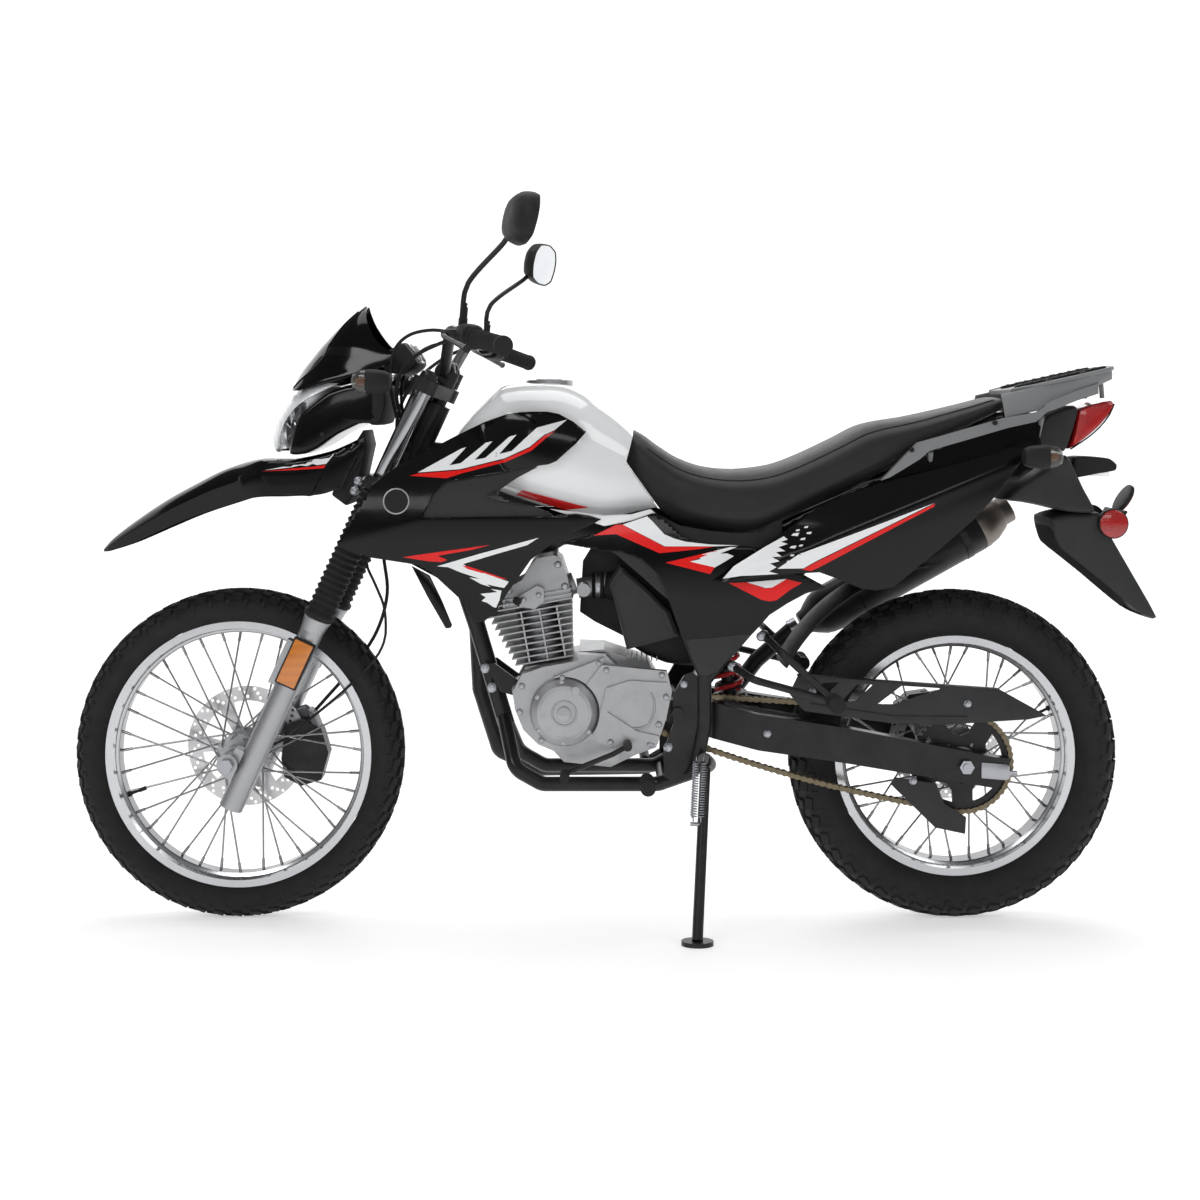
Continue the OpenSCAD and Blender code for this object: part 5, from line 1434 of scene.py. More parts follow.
def fork_trim():
    tubes, caps, rings, cases, lenses = [], [], [], [], []
    sleeve = [(-180.5, 17.6), (-180, 17.95), (3.6, 17.95), (3.9, 17.6)]
    cap = [(36, 17), (38, 17.2), (43, 15.6), (44, 9), (47, 8.6), (48, 6.5), (48, 0.2)]
    clamp = [(-214.5, 29.2), (-214.5, 30.4), (-209.5, 30.4), (-209.5, 29.2)]
    collar = [(-463, 25), (-463, 30.2), (-470, 30.0), (-474, 27), (-474, 24)]
    for s in (-1, 1):
        leg = (LEG_SETBACK, s * LEG_Y)
        tubes.append(turned_z("sleeve", sleeve, leg))
        caps.append(turned_z("cap", cap, leg))
        rings += [turned_z("ring", profile, leg) for profile in (clamp, collar)]
        for made, near, far, edge, bevel in ((cases, 23.2, 31, 0, 3), (lenses, 30.6, 34.5, 3.5, 2)):
            inner, outer = sorted((leg[1] + s * near, leg[1] + s * far))
            top = -520 if edge else -516
            bottom = -608 if edge else -612
            made.append(rounded_box("reflector", (-50 + edge, inner, bottom), (-6 - edge, outer, top), bevel))
    for name, parts, slot, finish in (
        ("fork_tube_sleeves", tubes, "alloy", DARK_CHROME),
        ("fork_caps", caps, "dark_steel", None),
        ("boot_clamps", rings, "rubber", None),
        ("reflector_cases", cases, "black_plastic", None),
        ("reflector_lenses", lenses, "red_lens", ORANGE),
    ):
        hand_over(joined(name, parts), "steering", slot, finish, where=FORK_PLACE)
    ahead, low = (-1, 0, 0), -193
    places = [(LEG_SETBACK - 30, s * LEG_Y, z, ahead, 8, "socket") for s in (-1, 1) for z in (low, 17)]
    places += [facing(s, 126, 8, [(-2, low)], "socket")[0] for s in (-1, 1)]
    bolts("clamp_bolts", "steering", places, where=FORK_PLACE)


def front_caliper():
    """A two-piston sliding caliper over the disc on the right leg."""
    name, near, far = "front_caliper_body", 14, 30
    outer = [(-30, -42), (-34, -20), (-34, 20), (-28, 44), (12, 48), (24, 30), (26, -28), (12, -46)]
    parts = [plate(name, outer, near, far, 5, 3)]
    parts += [rod(name, (-4, far - 2, z), (-4, far + 7, z), 15, 28, 2) for z in (-20, 20)]
    bridge = [(20, -40), (20, 42), (30, 34), (34, 0), (30, -32)]
    parts.append(plate(name, bridge, -far * 0.6, far - 4, 3))
    obj = joined(name, parts)
    obj.data.transform(
        Matrix.Translation((FRONT_AXLE[0], 58, FRONT_AXLE[1]))
        @ Matrix.Rotation(math.radians(-14), 4, "Y")
        @ Matrix.Translation((116, 0, 0))
    )
    hand_over(obj, "steering", "dark_steel", CALIPER)


DARK_CHROME = turned_metal("dark_chrome_tube", (0.42, 0.425, 0.44), 0.14, (40, 40, 1))
ORANGE = lit_lens("orange_reflector", (0.85, 0.24, 0.02), 420.0)
CALIPER = cast_metal("grey_caliper", (0.16, 0.163, 0.17), 0.45, 600.0, (0.08, 0.08, 0.08))
fork_trim()
front_caliper()


# ---------- handlebar, controls and mirrors ----------

BAR_KNEE, BAR_END = Vector((-276, -205, 1145)), Vector((-163, -440, 1107))


def on_bar(t, s=-1):
    """A point of the bar's straight end, 0 at its knee and 1 at its tip, on side s."""
    p = BAR_KNEE + (BAR_END - BAR_KNEE) * t
    return Vector((p.x, s * abs(p.y), p.z))


def round_bar(name, profile, s, steps=28, power=2.0):
    """A profile of (distance along the bar, radius) turned about the bar."""
    start = on_bar(0, s)
    way = (on_bar(1, s) - start).normalized()
    side = way.cross(Z).normalized()
    up = side.cross(way)
    return loft(name, [ring(start + way * d, side, up, r, steps, power, 0.5) for d, r in profile])


GRIP_ENDS = (
    [(128, 14), (128, 19.5), (131, 20.5), (134, 19.5), (136, 16.2)],
    [(261, 17.6), (266, 17.4), (268, 14), (268, 6)],
)
SWITCH_BOX = [
    (84, 12), (85, 19), (88, 21.5), (103, 22), (104, 21.2), (105, 22), (119, 21), (122, 18), (123, 12)]
LEVER_CLAMP = [(62, 12), (62, 15.5), (64, 16.8), (80, 16.8), (82, 15.5), (82, 12)]


def lever_radius(t):
    """A lever's waist, and the ball at its end."""
    return 5.6 - 1.5 * math.sin(math.pi * min(1, t * 1.15)) + 1.6 * easing((t - 0.94) / 0.04)


def grips():
    ribbed, boxes, levers, buttons, plain = [], [], [], [], []
    ribs = []
    for i in range(26):
        d = 140 + i * 4.6
        ribs += [(d, 16.4), (d + 0.8, 15.3), (d + 2.6, 15.3), (d + 3.4, 16.4)]
    for s in (-1, 1):
        ribbed.append(round_bar("grip", GRIP_ENDS[0] + ribs + GRIP_ENDS[1], s))
        boxes.append(round_bar("switch_box", SWITCH_BOX, s, 32, 3.0))
        plain.append(round_bar("lever_clamp", LEVER_CLAMP, s, 28, 2.6))
        knee = on_bar(0.27, s)
        plain.append(rounded_box("lever_perch", knee + Vector((-40, -13, -6)), knee + Vector((-8, 13, 9)), 4))
        blade = [knee + Vector((-31, s * -2, 2))]
        for t, dx, dy, dz in ((0.4, -46, 4, 0), (0.7, -53, 5, -3), (0.98, -58, 8, -6)):
            blade.append(on_bar(t, s) + Vector((dx, s * dy, dz)))
        levers.append(tube("lever", blade, lever_radius, 16))
        for dx, dz, wide in ((17, 11, 11), (20, -1, 9), (16, -13, 8)):
            c = on_bar(0.39, s) + Vector((dx, s * -1.5, dz))
            low, high = c - Vector((4, wide / 2, 3.4)), c + Vector((5, wide / 2, 3.4))
            buttons.append(rounded_box("button", low, high, 1.6, 2))
    tank_at = on_bar(0.26, 1) + Vector((-24, 0, 14))
    plain.append(rounded_box("reservoir", tank_at - Vector((17, 24, 8)), tank_at + Vector((17, 24, 13)), 5))
    hand_over(joined("grips", ribbed), "steering", "rubber", nodes=("hand_controls",), angle=30)
    hand_over(joined("switch_boxes", boxes), "steering", "black_plastic", angle=30)
    hand_over(joined("lever_perches", plain), "steering", "dark_steel")
    hand_over(joined("levers", levers), "steering", "dark_steel", angle=50)
    hand_over(joined("switch_buttons", buttons), "steering", "rubber", "grey_plastic")
    lid = rounded_box("reservoir_lid", tank_at + Vector((-18, -25, 13)), tank_at + Vector((18, 25, 18)), 2)
    hand_over(lid, "steering", "black_plastic")


MIRROR_SHAPE = [(-72, -8), (-62, -34), (-28, -46), (20, -45), (60, -33), (73, -6), (70, 22), (46, 43),
    (-8, 47), (-54, 36), (-70, 14)]
MIRROR_SEAT = (
    Matrix.Translation((-137, -400, 1328))
    @ Matrix.Rotation(math.radians(18), 4, "Z")
    @ Matrix.Rotation(math.radians(12), 4, "Y")
)


def mirrors():
    curve = outline_curve(MIRROR_SHAPE, 5)
    shell = [
        (-22, 0.30), (-21.5, 0.46), (-19, 0.62), (-14.5, 0.78), (-8, 0.90), (-1, 0.965), (6, 0.995),
        (11, 1.0),
        (14, 0.985), (14.6, 0.955), (12.6, 0.935)]
    glass = [(12.2, 0.90), (13.2, 0.925), (13.5, 0.90)]
    for name, section, slot, finish, nodes, angle in (
        ("mirror_shells", shell, "black_plastic", None, ("mirrors",), 45),
        ("mirror_glasses", glass, "alloy", MIRROR_GLASS, (), 30),
    ):
        piece = loft(name, [[Vector((x, y * k, z * k)) for y, z in curve] for x, k in section])
        piece.data.transform(MIRROR_SEAT)
        pair(piece, "steering", slot, finish, nodes, angle)
    foot = on_bar(0.275)
    line = [foot + Vector((-2, 0, 34)), foot + Vector((8, -2, 92)), (-168, -352, 1290), (-150, -384, 1314)]
    pair(tube("mirror_stems", line, 5, 14), "steering", "dark_steel", angle=50)
    base = [
        rod("base", foot + Vector(low), foot + Vector(high), r, steps, bevel)
        for low, high, r, steps, bevel in (
            ((-2, 0, 16), (-1, 0, 30), 8.5, 6, 0.8),
            ((-1, 0, 28), (1, -1, 50), 7.2, 20, 1.5),
            ((-1, 0, 50), (2, -1, 58), 6.2, 20, 1.5),
        )
    ]
    pair(joined("mirror_bases", base), "steering", "rubber")


MIRROR_GLASS = turned_metal("mirror_silver", (0.72, 0.74, 0.76), 0.04, (1, 1, 1))
grips()
mirrors()
clamps = [rounded_box("bar_clamp", (-318, s * 34 - 13, 1052), (-284, s * 34 + 13, 1090), 5) for s in (-1, 1)]
hand_over(joined("bar_clamps", clamps), "steering", "dark_steel")
bolts("bar_clamp_bolts", "steering", [
    (x, s * 34, 1089, (0, 0, 1), 8, "socket") for s in (-1, 1) for x in (-311, -291)])


# ---------- chain, guard and swingarm ----------

PITCH = 12.7
CHAIN_A, CHAIN_B = Vector((85, 425)), Vector((695, 322))
CHAIN_Y = -82


def pitch_radius(teeth):
    return PITCH / (2 * math.sin(math.pi / teeth))


def chain_pins():
    """The pins' places (x, z) all the way round both sprockets, sagging along the lower run."""
    small, large = pitch_radius(15), pitch_radius(47)
    way = CHAIN_B - CHAIN_A
    lean = math.atan2(way.y, way.x)
    wrap = math.asin((large - small) / way.length)
    run = math.sqrt(way.length**2 - (large - small) ** 2)
    front, rear = small * (math.pi - 2 * wrap), large * (math.pi + 2 * wrap)
    total = 2 * run + front + rear
    count = 2 * round(total / PITCH / 2)
    up, down = lean + math.pi / 2 + wrap, lean - math.pi / 2 - wrap

    def turn(a):
        return Vector((math.cos(a), math.sin(a)))

    out = []
    for i in range(count):
        s = total * i / count
        if s < run:
            p = CHAIN_A + turn(up) * small + turn(up - math.pi / 2) * s
        elif s < run + rear:
            p = CHAIN_B + turn(up - (s - run) / large) * large
        elif s < 2 * run + rear:
            k = (s - run - rear) / run
            p = CHAIN_B + turn(down) * large + turn(down - math.pi / 2) * (s - run - rear) + Vector((0,
                -72 * k * (1 - k)))
        else:
            p = CHAIN_A + turn(down - (s - 2 * run - rear) / small) * small
        out.append(p)
    return out


def link_plate(y0, y1):
    """A waisted side plate between two pins, one at the middle and one a pitch along x."""
    waist = [(-3.6, 3.6), (0, 5.3), (3.4, 4.4), (PITCH / 2, 3.3), (PITCH - 3.4, 4.4), (PITCH, 5.3),
        (PITCH + 3.6, 3.6)]
    under = [(x, -z) for x, z in reversed(waist)]
    return plate("link_plate", [(-4.6, 0), *waist, (PITCH + 4.6, 0), *under], y0, y1)


def drive_chain():
    links = []
    for plate_y, wall, pin_y, r, sides in ((6.3, 1.6, 8.3, 2.0, 8), (4.4, 1.6, 4.4, 4.0, 10)):
        link = [link_plate(plate_y, plate_y + wall), link_plate(-plate_y - wall, -plate_y)]
        link += [rod("pin", (x, -pin_y, 0), (x, pin_y, 0), r, sides) for x in (0, PITCH)]
        links.append(joined("link", link))
    pins = chain_pins()
    parts = []
    for i, p in enumerate(pins):
        q = pins[(i + 1) % len(pins)]
        turn = Matrix.Rotation(-math.atan2(q.y - p.y, q.x - p.x), 4, "Y")
        stretch = Matrix.Diagonal(((q - p).length / PITCH, 1, 1, 1))
        parts.append(copied(links[i % 2], "link", Matrix.Translation((p.x, CHAIN_Y, p.y)) @ turn @ stretch))
    for shape in links:
        bpy.data.objects.remove(shape)
    hand_over(joined("drive_chain_links", parts), "chassis", "chain_steel", nodes=("drive_chain",), angle=30)


def chain_guard():
    top = plate("chain_guard_top", [(377, 494), (760, 467), (850, 417), (815, 410), (658, 400), (560, 402),
        (388, 426), (360, 459)], -116, -112.6)
    for slot in (
        [(424, 479), (455, 481), (424, 451), (398, 449)],
        [(490, 477), (522, 478), (486, 445), (458, 443)],
        [(574, 474), (652, 469), (560, 439), (528, 439)],
    ):
        combine(top, plate("tool", slot, -130, -100))
    soften(top, 0.9)
    lip = plate("chain_guard_lip", [(377, 494), (760, 467), (850, 417), (846, 415.4), (758.6, 463.6),
        (377, 490.6)], -113, -95, 0.8)
    rib = plate("chain_guard_rib", [(400, 437), (560, 413), (700, 412), (700, 416), (560, 417), (400, 441)],
        -118.5, -113, 1)
    hand_over(joined("chain_guard_upper", [top, lip, rib]), "chassis", "black_plastic", "grey_plastic",
        ("chain_guard",), 35)
    low = plate("chain_guide", [(560, 300), (640, 288), (655, 250), (697, 224), (695, 192), (638, 204),
        (556, 284)], -116, -112, 1)
    lip = plate("chain_guide", [(556, 284), (638, 204), (695, 192), (695, 196), (640, 208), (560, 287)], -113,
        -95, 0.8)
    hand_over(joined("chain_guide", [low, lip]), "chassis", "black_plastic", "grey_plastic")
    bolts("guard_bolts", "chassis", facing(-1, 116, 10, [(404, 462), (700, 440), (596, 293)]))


def swingarm_trim():
    outline = [(724, 300), (772, 296), (778, 300), (778, 322), (772, 326), (724, 330)]
    for s, side in ((-1, "left"), (1, "right")):
        block = plate("adjuster_" + side, outline, s * 120.4, s * 123.4, 1)
        combine(block, rod("tool", (695, s * 100, 322), (695, s * 140, 322), 9, 24))
        hand_over(block, "chassis", "steel")
        stud = rod("stud", (770, s * 107, 308), (796, s * 107, 306), 4, 12, 0.5)
        nut = rod("nut", (779, s * 107, 307.6), (786, s * 107, 307), 7.5, 6, 0.6)
        hand_over(joined("adjuster_nut_" + side, [stud, nut]), "chassis", "steel")
    pad = plate("chain_slider", [(236, 440), (300, 424), (380, 412), (380, 416), (300, 429), (236, 445)],
        -123, -93, 1.2)
    hand_over(pad, "chassis", "rubber")
    low_pair = [(160, 476), (186, 500)]
    hangers = [(306, 569), (252, 512)]
    bolts("chassis_bolts", "chassis", [
        *facing(-1, 36, 13, [(-225, 494), (-212, 456), (-163, 452)]),
        *facing(1, 36, 13, [(-225, 494), (-163, 452)]),
        *facing(-1, 111, 12, [(130, 356)]), *facing(-1, 111, 10, low_pair),
        *facing(1, 111, 12, [(130, 356)]), *facing(1, 111, 10, low_pair[:1]),
        *facing(-1, 120.4, 10, [(318, 384)]), *facing(-1, 122, 12, hangers[:1]),
        *facing(-1, 126, 12, hangers[1:]),
        *facing(1, 122, 12, hangers[:1]), *facing(1, 126, 12, hangers[1:])])


drive_chain()
chain_guard()
swingarm_trim()


# ---------- engine ----------

ON_CYLINDER = Matrix.Translation((-107, 0, 508)) @ Matrix.Rotation(math.radians(-10), 4, "Y")


def round_places(cx, cz, r, angles):
    return [(cx + r * math.cos(math.radians(a)), cz + r * math.sin(math.radians(a))) for a in angles]


def engine_trim():
    bolts("generator_bolts", "chassis",
        facing(-1, 108.5, 8, round_places(-68, 422, 58.5, (95, 150, 215, 268, 322))))
    bolts("cover_bolts", "chassis", [
        *facing(-1, 112.5, 8, [(12, 503), (118, 494), (126, 452), (112, 400), (96, 362), (20, 366)]),
        *facing(-1, 107.5, 7, [(-72, 488), (-2, 516)]),
        *facing(-1, 95.5, 8, [(-150, 470), (-154, 420), (-112, 366)])])
    bolts("clutch_bolts", "chassis", facing(1, 118, 8, round_places(-62, 418, 73, range(20, 336, 45))))
    plug = joined("generator_plugs", [
        rod("plug", (-68, -121.5, 422), (-68, -124.5, 422), 13, 32, 1),
        rod("plug", (-46, -119, 466), (-46, -121.6, 466), 8, 24, 0.8)])
    combine(plug, rounded_box("tool", (-78, -126, 420.6), (-58, -123.6, 423.4), 0.2, 1))
    hand_over(plug, "chassis", "cast_alloy", angle=30)
    gasket = plate("case_gasket", [(-111, 506.6), (-150.6, 492.4), (-168.6, 458), (-163.6, 425),
        (-147.6, 386), (-119.4, 357.4), (-47, 327.4), (-1, 321.4),
                                    (36.6, 327.4), (40.6, 380), (40.6, 500), (12, 528.6), (-41, 530.6),
                                    (-42, 518)], -61.2, -60)
    hand_over(gasket, "chassis", "rubber")
    window = [(66, -113, 470), (96, -113, 462), (104, -113, 430), (92, -113, 398), (64, -113, 392)]
    hand_over(tube("sprocket_window", window, 2.2, 8), "chassis", "cast_alloy", angle=50)
    place = PARKED @ ON_CYLINDER
    bolts("head_bolts", "chassis", [
        *facing(-1, 62.3, 9, [(-44, 150), (58, 184)]), *facing(-1, 76.3, 7, [(-18, 130), (12, 134)]),
        *facing(-1, 62.3, 9, [(64, 140)]), *facing(-1, 62.3, 8, [(-52, 126)]),
        *facing(1, 62.3, 9, [(58, 184), (-44, 150)])], where=place)
    cap = [(198, 20), (200, 22.5), (207, 22.5), (210, 20.5), (210, 8), (208, 7), (208, 0.3)]
    caps = [turned_z("valve_cap", cap, (38, y), 36) for y in (-34, 34)]
    hand_over(joined("valve_caps", caps), "chassis", "cast_alloy", where=place)
    spark = joined("spark_plug", [
        rod("plug", (-30, -62, 126), (-30, -72, 128), 8.5, 6, 0.8),
        rod("plug", (-30, -70, 128), (-30, -104, 134), 7.5, 18, 2)])
    hand_over(spark, "chassis", "rubber", where=place)
    ribs = []
    for i in range(7):
        x = 52 + i * 9.5
        ribs.append(plate("rib", [(x, 513), (x + 2, 513), (x + 2, 527 - 0.7 * i), (x, 527 - 0.7 * i)], -70,
            -24, 0.5))
    hand_over(joined("case_ribs", ribs), "chassis", "cast_alloy")
    feed = tube("oil_pipe", [(-116, 66, 470), (-140, 72, 520), (-138, 70, 590), (-126, 66, 640)], 4, 12)
    hand_over(feed, "chassis", "steel", angle=50)
    boot = [(28, 24), (32, 27.5), (36, 24.5), (44, 24.5), (46, 28), (50, 28), (52, 25), (60, 27), (70, 31),
        (74, 33)]
    intake = turned_x("intake_boot", boot, (-44, 0, 652), 36)
    hand_over(intake, "chassis", "rubber", angle=50)
    clip = turned_x("intake_clip", [(37, 25), (37, 26.2), (43, 26.2), (43, 25)], (-44, 0, 652), 36)
    hand_over(clip, "chassis", "steel")


def pegs():
    """Ribbed rubbers on the pegs and pedals."""
    parts = []

    def ribbed(a, b, r, ribs):
        a, b = Vector(a), Vector(b)
        way = (b - a).normalized()
        side = way.orthogonal().normalized()
        length = (b - a).length
        wide = (length - 6) / ribs
        profile = [(0, r - 2), (0.6, r)]
        for i in range(ribs):
            d = 3 + wide * i
            profile += [(d, r), (d + wide * 0.2, r - 1.5), (d + wide * 0.6, r - 1.5), (d + wide * 0.8, r)]
        profile += [(length - 0.6, r), (length, r - 2)]
        up = way.cross(side)
        parts.append(loft("peg_rubber", [ring(a + way * d, side, up, q, 24) for d, q in profile]))

    for s in (-1, 1):
        ribbed((88, s * 158, 304.4), (88, s * 226, 306), 14, 12)
        ribbed((430, s * 205, 462.3), (430, s * 254, 464), 15.4, 9)
    ribbed((-66, -152, 316), (-66, -191, 316), 9, 8)
    hand_over(joined("foot_rubbers", parts), "chassis", "rubber", angle=30)
    tread = rounded_box("brake_pedal_tread", (-100, 158, 311), (-72, 195, 315), 1.5)
    hand_over(tread, "chassis", "dark_steel")


def muffler():
    place = (
        PARKED
        @ Matrix.Translation((402, 152, 543))
        @ Matrix.Rotation(math.radians(3.2), 4, "Z")
        @ Matrix.Rotation(math.radians(61.2), 4, "Y")
    )
    can = turned_z("muffler_can", [
        (20, 17.5), (20, 22), (22, 24), (34, 27), (44, 34), (60, 43.5), (74, 47.6), (90, 49.6), (92, 50),
        (436, 51.6),
        (438, 50.6), (438, 48)], (0, 0), 64)
    hand_over(can, "chassis", "exhaust_black", nodes=("muffler",), angle=35, where=place)
    tip = turned_z("muffler_end", [
        (438, 48), (438.5, 51), (446, 51.2), (470, 46.5), (494, 35), (500, 30), (520, 29.6), (521, 28),
        (519, 25),
        (482, 24), (481, 0.3)], (0, 0), 64)
    hand_over(tip, "chassis", "exhaust_black", TITANIUM, angle=35, where=place)
    band = [
        turned_z("band", [(z, 51), (z, 52.6), (z + 14, 52.8), (z + 14, 51)], (0, 0), 64) for z in (150, 392)]
    hand_over(joined("muffler_bands", band), "chassis", "dark_steel", where=place)

    def at(u, v):
        a = math.radians(38 + 104 * u)
        z = 112 + 300 * v
        taper = math.sin(math.pi * v) ** 0.25
        half = math.radians(90) + (a - math.radians(90)) * (0.55 + 0.45 * taper)
        return Vector((56.5 * math.cos(half), 56.5 * math.sin(half), z))

    shield = web("heat_shield", 26, 60, at)
    face_outwards(shield)
    turn_faces(shield, lambda p: p.normal.x * p.center.x + p.normal.y * p.center.y)
    thicken(shield, 1.6)
    for z in range(160, 400, 48):
        combine(shield, rounded_box("tool", (-22, 40, z), (22, 70, z + 12), 5))
    hand_over(shield, "chassis", "exhaust_black", angle=40, where=place)
    header = turned_z("exhaust_clamp", [(-6, 17.5), (-6, 21), (12, 21), (12, 17.5)], (0, 0), 36)
    hand_over(header, "chassis", "steel", where=place)


# ---------- tail ----------

def tail():
    house = pillow("tail_housing", [(838, 940), (852, 972), (866, 988), (900, 1003), (921, 1008), (927, 998),
        (914, 950), (900, 918), (866, 922)], 71)
    hand_over(house, "chassis", "black_plastic", "grey_plastic", ("rear_fender",), 40)
    collar = pillow("tail_collar", [(779, 826), (806, 852), (831, 868), (870, 892), (902, 912), (921, 878),
        (934, 850), (958, 801), (909, 801), (860, 812), (818, 820)], 84)
    hand_over(collar, "chassis", "black_plastic", "grey_plastic", angle=40)
    flap = pillow("mud_flap", [
        (909, 801), (958, 801), (974, 798), (996, 750), (1034, 684), (1085, 593), (1054, 599), (1010, 634),
        (970, 668), (930, 700), (886, 736), (876, 766), (874, 790)], 64, n=3)
    inner = pillow("tool", [
        (870, 772), (940, 786), (962, 776), (984, 735), (1020, 672), (1064, 600), (1040, 590), (1000, 620),
        (960, 650), (920, 680), (870, 716)], 59, n=3)
    combine(flap, inner)
    hand_over(flap, "chassis", "black_plastic", "grey_plastic", angle=40)
    lamp = pillow("plate_lamp_hood",
        [(928, 866), (930, 906), (964, 908), (1001, 904), (1016, 892), (1013, 880), (980, 874)], 30)
    hand_over(lamp, "chassis", "black_plastic", angle=40)
    glow = rounded_box("plate_lamp_lens", (968, -20, 868), (1004, 20, 878), 3)
    hand_over(glow, "chassis", "lamp_glass")
    seat_of = Matrix.Translation((1004, 0, 770)) @ Matrix.Rotation(math.radians(31), 4, "Y")
    back = rounded_box("plate_holder", (-3, -60, -52), (2, 60, 38), 1.8)
    for s in (-1, 1):
        combine(back, rod("tool", (-10, s * 36, 12), (20, s * 36, 12), 3.5, 16))
    back.data.transform(seat_of)
    hand_over(back, "chassis", "black_plastic")
    disc = rod("rear_reflector", (-2, 0, 62), (7, 0, 62), 29, 48, 2)
    bezel = rod("rear_reflector_ring", (-3, 0, 62), (5, 0, 62), 31.5, 48, 1.5)
    for piece, slot in ((disc, "red_lens"), (bezel, "black_plastic")):
        piece.data.transform(seat_of)
        hand_over(piece, "chassis", slot)
    for s, word in ((-1, "left"), (1, "right")):
        glass = rod(f"side_reflector_{word}", (993, s * 67, 779), (993, s * 75, 779), 27, 48, 2)
        hand_over(glass, "chassis", "red_lens")
        cup = rod(f"side_reflector_cup_{word}", (993, s * 60, 779), (993, s * 73, 779), 29, 48, 1.5)
        hand_over(cup, "chassis", "black_plastic")
    lens = pillow("tail_lens", [(928, 1000), (958, 1012), (990, 1019), (998, 1012), (987, 989), (966, 965),
        (943, 945), (911, 923), (917, 950), (922, 975)], 68, n=5)
    hand_over(lens, "chassis", "red_lens", nodes=("tail_light",), angle=40)
    bezel = tube("tail_bezels", [(911, -66, 923), (943, -68.5, 945), (966, -69, 965), (986, -67, 989),
        (997, -63, 1011)], 1.6, 8)
    pair(bezel, "chassis", "black_plastic", angle=50)


def rack():
    on_rack = PARKED @ Matrix.Translation((792, 0, 1038)) @ Matrix.Rotation(math.radians(-12.5), 4, "Y")
    pads = []
    for y in (-50, 50):
        pads.append(rounded_box("rack_pad", (18, y - 11, -0.6), (196, y + 11, 5), 3))
        for i in range(9):
            pads.append(rounded_box("rack_pad_rib", (30 + i * 18, y - 8, 4.4), (34 + i * 18, y + 8, 6.2), 0.8,
                1))
    hand_over(joined("rack_pads", pads), "chassis", "rubber", where=on_rack)
    skirt_low = [(768, 985), (842, 1001), (866, 1014), (925, 1035), (965, 1050), (986, 1058)]

    def skirt_at(u, v):
        x = 768 + 218 * u
        along = (x - 792) / math.cos(math.radians(12.5))
        wide = lookup(along, [(-25, 96), (0, 100), (60, 113), (150, 113), (190, 95), (200, 80)])
        top = 1035 + (x - 792) * math.tan(math.radians(12.5))
        low = lookup(x, skirt_low)
        flare = lookup(x, [(768, 127), (842, 127), (900, 120), (950, 106), (986, 84)])
        bulge = 2.5 * math.sin(math.pi * v)
        return Vector((x, -(wide + (flare - wide) * v) - bulge, top + (low - top) * v))

    skirt = web("rack_side_skirts", 30, 8, skirt_at)
    turn_faces(skirt, lambda p: -p.normal.y)
    thicken(skirt, 4)
    soften(skirt, 1.0, angle=40)
    pair(skirt, "chassis", "rack_grey", angle=50)
    edge = [(2, 78), (60, 111), (150, 111), (196, 84), (211, 30), (212, 0)]
    rim = [tube("rack_edge", [(x, s * y, -2) for x, y in edge], 4.2, 10) for s in (-1, 1)]
    hand_over(joined("rack_edges", rim), "chassis", "rack_grey", angle=50, where=on_rack)
    tops = [(x, s * 96, 0, (0, 0, 1), 10, "socket") for s in (-1, 1) for x in (70, 138)]
    bolts("rack_bolts", "chassis", tops, "dark_steel", on_rack)
    rail = [(588, 924), (745, 975)]
    rail_bolts = facing(-1, 138, 10, rail, "socket") + facing(1, 138, 10, rail, "socket")
    bolts("rail_bolts", "chassis", rail_bolts, "dark_steel")


TITANIUM = turned_metal("brushed_end_cap", (0.23, 0.205, 0.185), 0.34, (1, 1, 30))
engine_trim()
pegs()
muffler()
tail()
rack()


# ---------- springs and hoses ----------

def coil(name, a, b, r, wire, turns, steps=10):
    """A close coil from a to b with a short straight lead at each end."""
    a, b = Vector(a), Vector(b)
    way = (b - a).normalized()
    side = way.orthogonal().normalized()
    up = way.cross(side)
    count = turns * 12
    points = [a - way * 10, a - way * 2]
    for i in range(count + 1):
        q = 2 * math.pi * i / 12
        points.append(a + (b - a) * (i / count) + (side * math.cos(q) + up * math.sin(q)) * r)
    points += [b + way * 2, b + way * 10]
    return sweep(name, points, lambda t: wire, steps)


def shock_spring():
    spring = coil("shock_spring", (257.6, 0, 441), (222.4, 0, 659), 27.2, 4.6, 9, 12)
    hand_over(spring, "chassis", "dark_steel", SPRING_RED, angle=60)


def hose(name, points, r):
    """A hose or cable between two fittings; the length of its line is worked out but not used."""
    line = [tuple(PARKED @ p) for p in tube_path(points, 40.0)]
    obj = hand_over(tube(name, points, r), "steering", "rubber", angle=60)
    length = sum(math.dist(a, b) for a, b in zip(line, line[1:]))
    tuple(line[0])


hose("front_brake_hose", [
    (-262, 250, 1134), (-296, 236, 1128), (-344, 200, 1100), (-392, 150, 1050), (-418, 128, 990),
    (-420, 130, 920), (-424, 132, 850), (-446, 132, 780),
    (-448, 130, 700), (-440, 126, 620), (-462, 122, 540), (-510, 108, 468), (-560, 84, 410), (-590, 66, 376)],
    3.6)
hose("speed_sensor_lead", [
    (-456, -58, 828), (-460, -60, 770), (-456, -60, 708), (-436, -60, 660), (-420, -60, 620),
    (-416, -58, 580), (-420, -56, 548), (-440, -50, 512),
    (-490, -40, 460), (-560, -30, 400), (-620, -26, 352), (-668, -30, 336)], 2.6)
shock_spring()


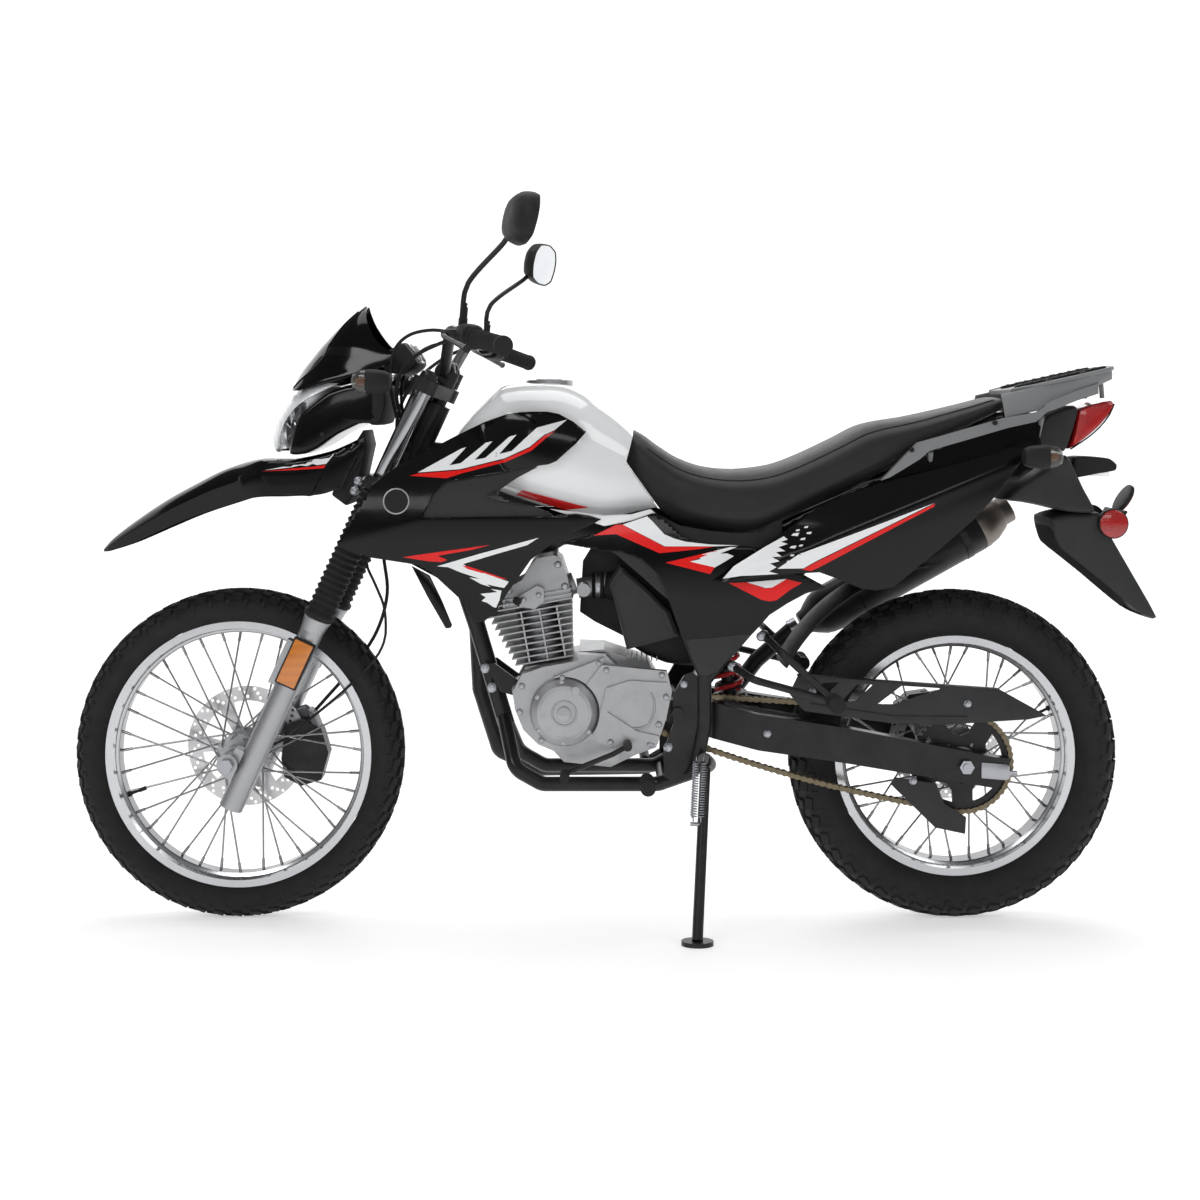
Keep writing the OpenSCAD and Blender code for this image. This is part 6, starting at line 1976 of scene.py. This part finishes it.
def wheel_valve(end, axle, rim_r, lead):
    """The tube's valve with its nut and cap, standing in from the rim."""
    way = Vector((math.cos(math.radians(lead)), 0, math.sin(math.radians(lead))))
    hub = Vector((axle[0], 0, axle[1]))
    stem = [
        rod("valve", hub + way * (rim_r - near), hub + way * (rim_r - far), r, steps, bevel)
        for near, far, r, steps, bevel in ((18, 27, 5.4, 6, 0.5), (18, 52, 2.8, 16, 0),
            (44, 58, 4.0, 16, 0.8))
    ]
    hand_over(joined(end + "_valve", stem), end + "_wheel", "rubber")


def stand_springs():
    """Two coil springs side by side from the stand's hub to a pin on its leg."""
    pivot, down = Vector((202, -128, 331)), Vector((-25, -137.3, -294.3)).normalized()
    out = Vector((0, -0.906, 0.423))
    coils, ends = [], []
    for shift in (-7, 7):
        start = pivot + out * 24 + Vector((shift - 14, 0, 0)) + down * 4
        end = pivot + out * 16 + Vector((shift - 14, 0, 0)) + down * 104
        coils.append(coil("stand_spring", start, end, 5.4, 1.3, 22, 8))
        ends.append(tube("hook", [end, end + down * 8, end + down * 14 - out * 6], 1.3, 8))
    pin = pivot + down * 116 + out * 12
    ends.append(rod("stand_spring_pin", pin + Vector((-26, 0, 0)), pin + Vector((4, 0, 0)), 3.6, 16, 0.6))
    hand_over(joined("stand_springs", coils), "side_stand", "steel", angle=60)
    hand_over(joined("stand_spring_ends", ends), "side_stand", "steel", angle=50)


def dials():
    """The instrument face turned to the rider: a dark panel, two dials and a plain screen."""
    place = PARKED @ Matrix.Translation((-363, 0, 1110)) @ Matrix.Rotation(math.radians(55), 4, "Y")
    panels = [rounded_box("panel", (-21, -58, -3), (21, 58, 2.4), 4)]
    rings, marks, hands = [], [], []
    for y in (-32, 32):
        rings.append(turned_z("dial_ring", [(1, 19), (4, 19.6), (5, 18.6), (4, 17.4), (1, 17)], (0, y), 40))
        middle = Matrix.Translation((0, y, 0))
        for k in range(11):
            mark = rounded_box("dial_mark", (12.2, -0.6, 2.2), (15.6, 0.6, 3.0), 0.2, 1)
            mark.data.transform(middle @ Matrix.Rotation(math.radians(135 + 27 * k), 4, "Z"))
            marks.append(mark)
        hand = rounded_box("dial_hand", (-2, -0.7, 2.6), (12, 0.7, 3.4), 0.3, 1)
        hand.data.transform(middle @ Matrix.Rotation(math.radians(140), 4, "Z"))
        hands += [hand, rod("dial_hub", (0, y, 2.2), (0, y, 4.2), 2.4, 20, 0.4)]
    for name, parts, slot, finish, angle in (
        ("dial_panel", panels, "black_plastic", SMOKED, 38),
        ("dial_rings", rings, "alloy", None, 40),
        ("dial_marks", marks, "white_paint", None, 38),
        ("dial_hands", hands, "red_lens", SIGNAL_RED, 38),
        ("dial_screen", [rounded_box("screen", (-12, -9, 2), (12, 9, 3.2), 1)], "rack_grey", "grey_plastic",
            38),
    ):
        hand_over(joined(name, parts), "steering", slot, finish, angle=angle, where=place)


wheel_valve("front", FRONT_AXLE, FRONT_TYRE[2], 201)
wheel_valve("rear", REAR_AXLE, REAR_TYRE[2], 24)
stand_springs()
dials()
hose("clutch_cable", [
    (-268, -226, 1140), (-306, -210, 1146), (-352, -176, 1140), (-386, -130, 1118), (-402, -92, 1080),
    (-404, -66, 1034),
    (-396, -48, 984), (-384, -40, 930), (-376, -36, 880)], 3.2)
hose("switch_lead_left", [
    (-262, -196, 1134), (-300, -176, 1122), (-344, -140, 1104), (-378, -100, 1078), (-394, -70, 1040),
    (-392, -44, 996),
    (-380, -26, 950), (-370, -18, 900)], 3.6)
hose("throttle_cable", [
    (-262, 226, 1134), (-302, 204, 1142), (-350, 160, 1134), (-384, 110, 1106), (-400, 74, 1062),
    (-400, 50, 1012),
    (-388, 36, 960), (-376, 30, 904)], 3.2)


make_floor()
make_backdrop()
for shape in BOLT_SHAPES.values():
    bpy.data.objects.remove(shape)
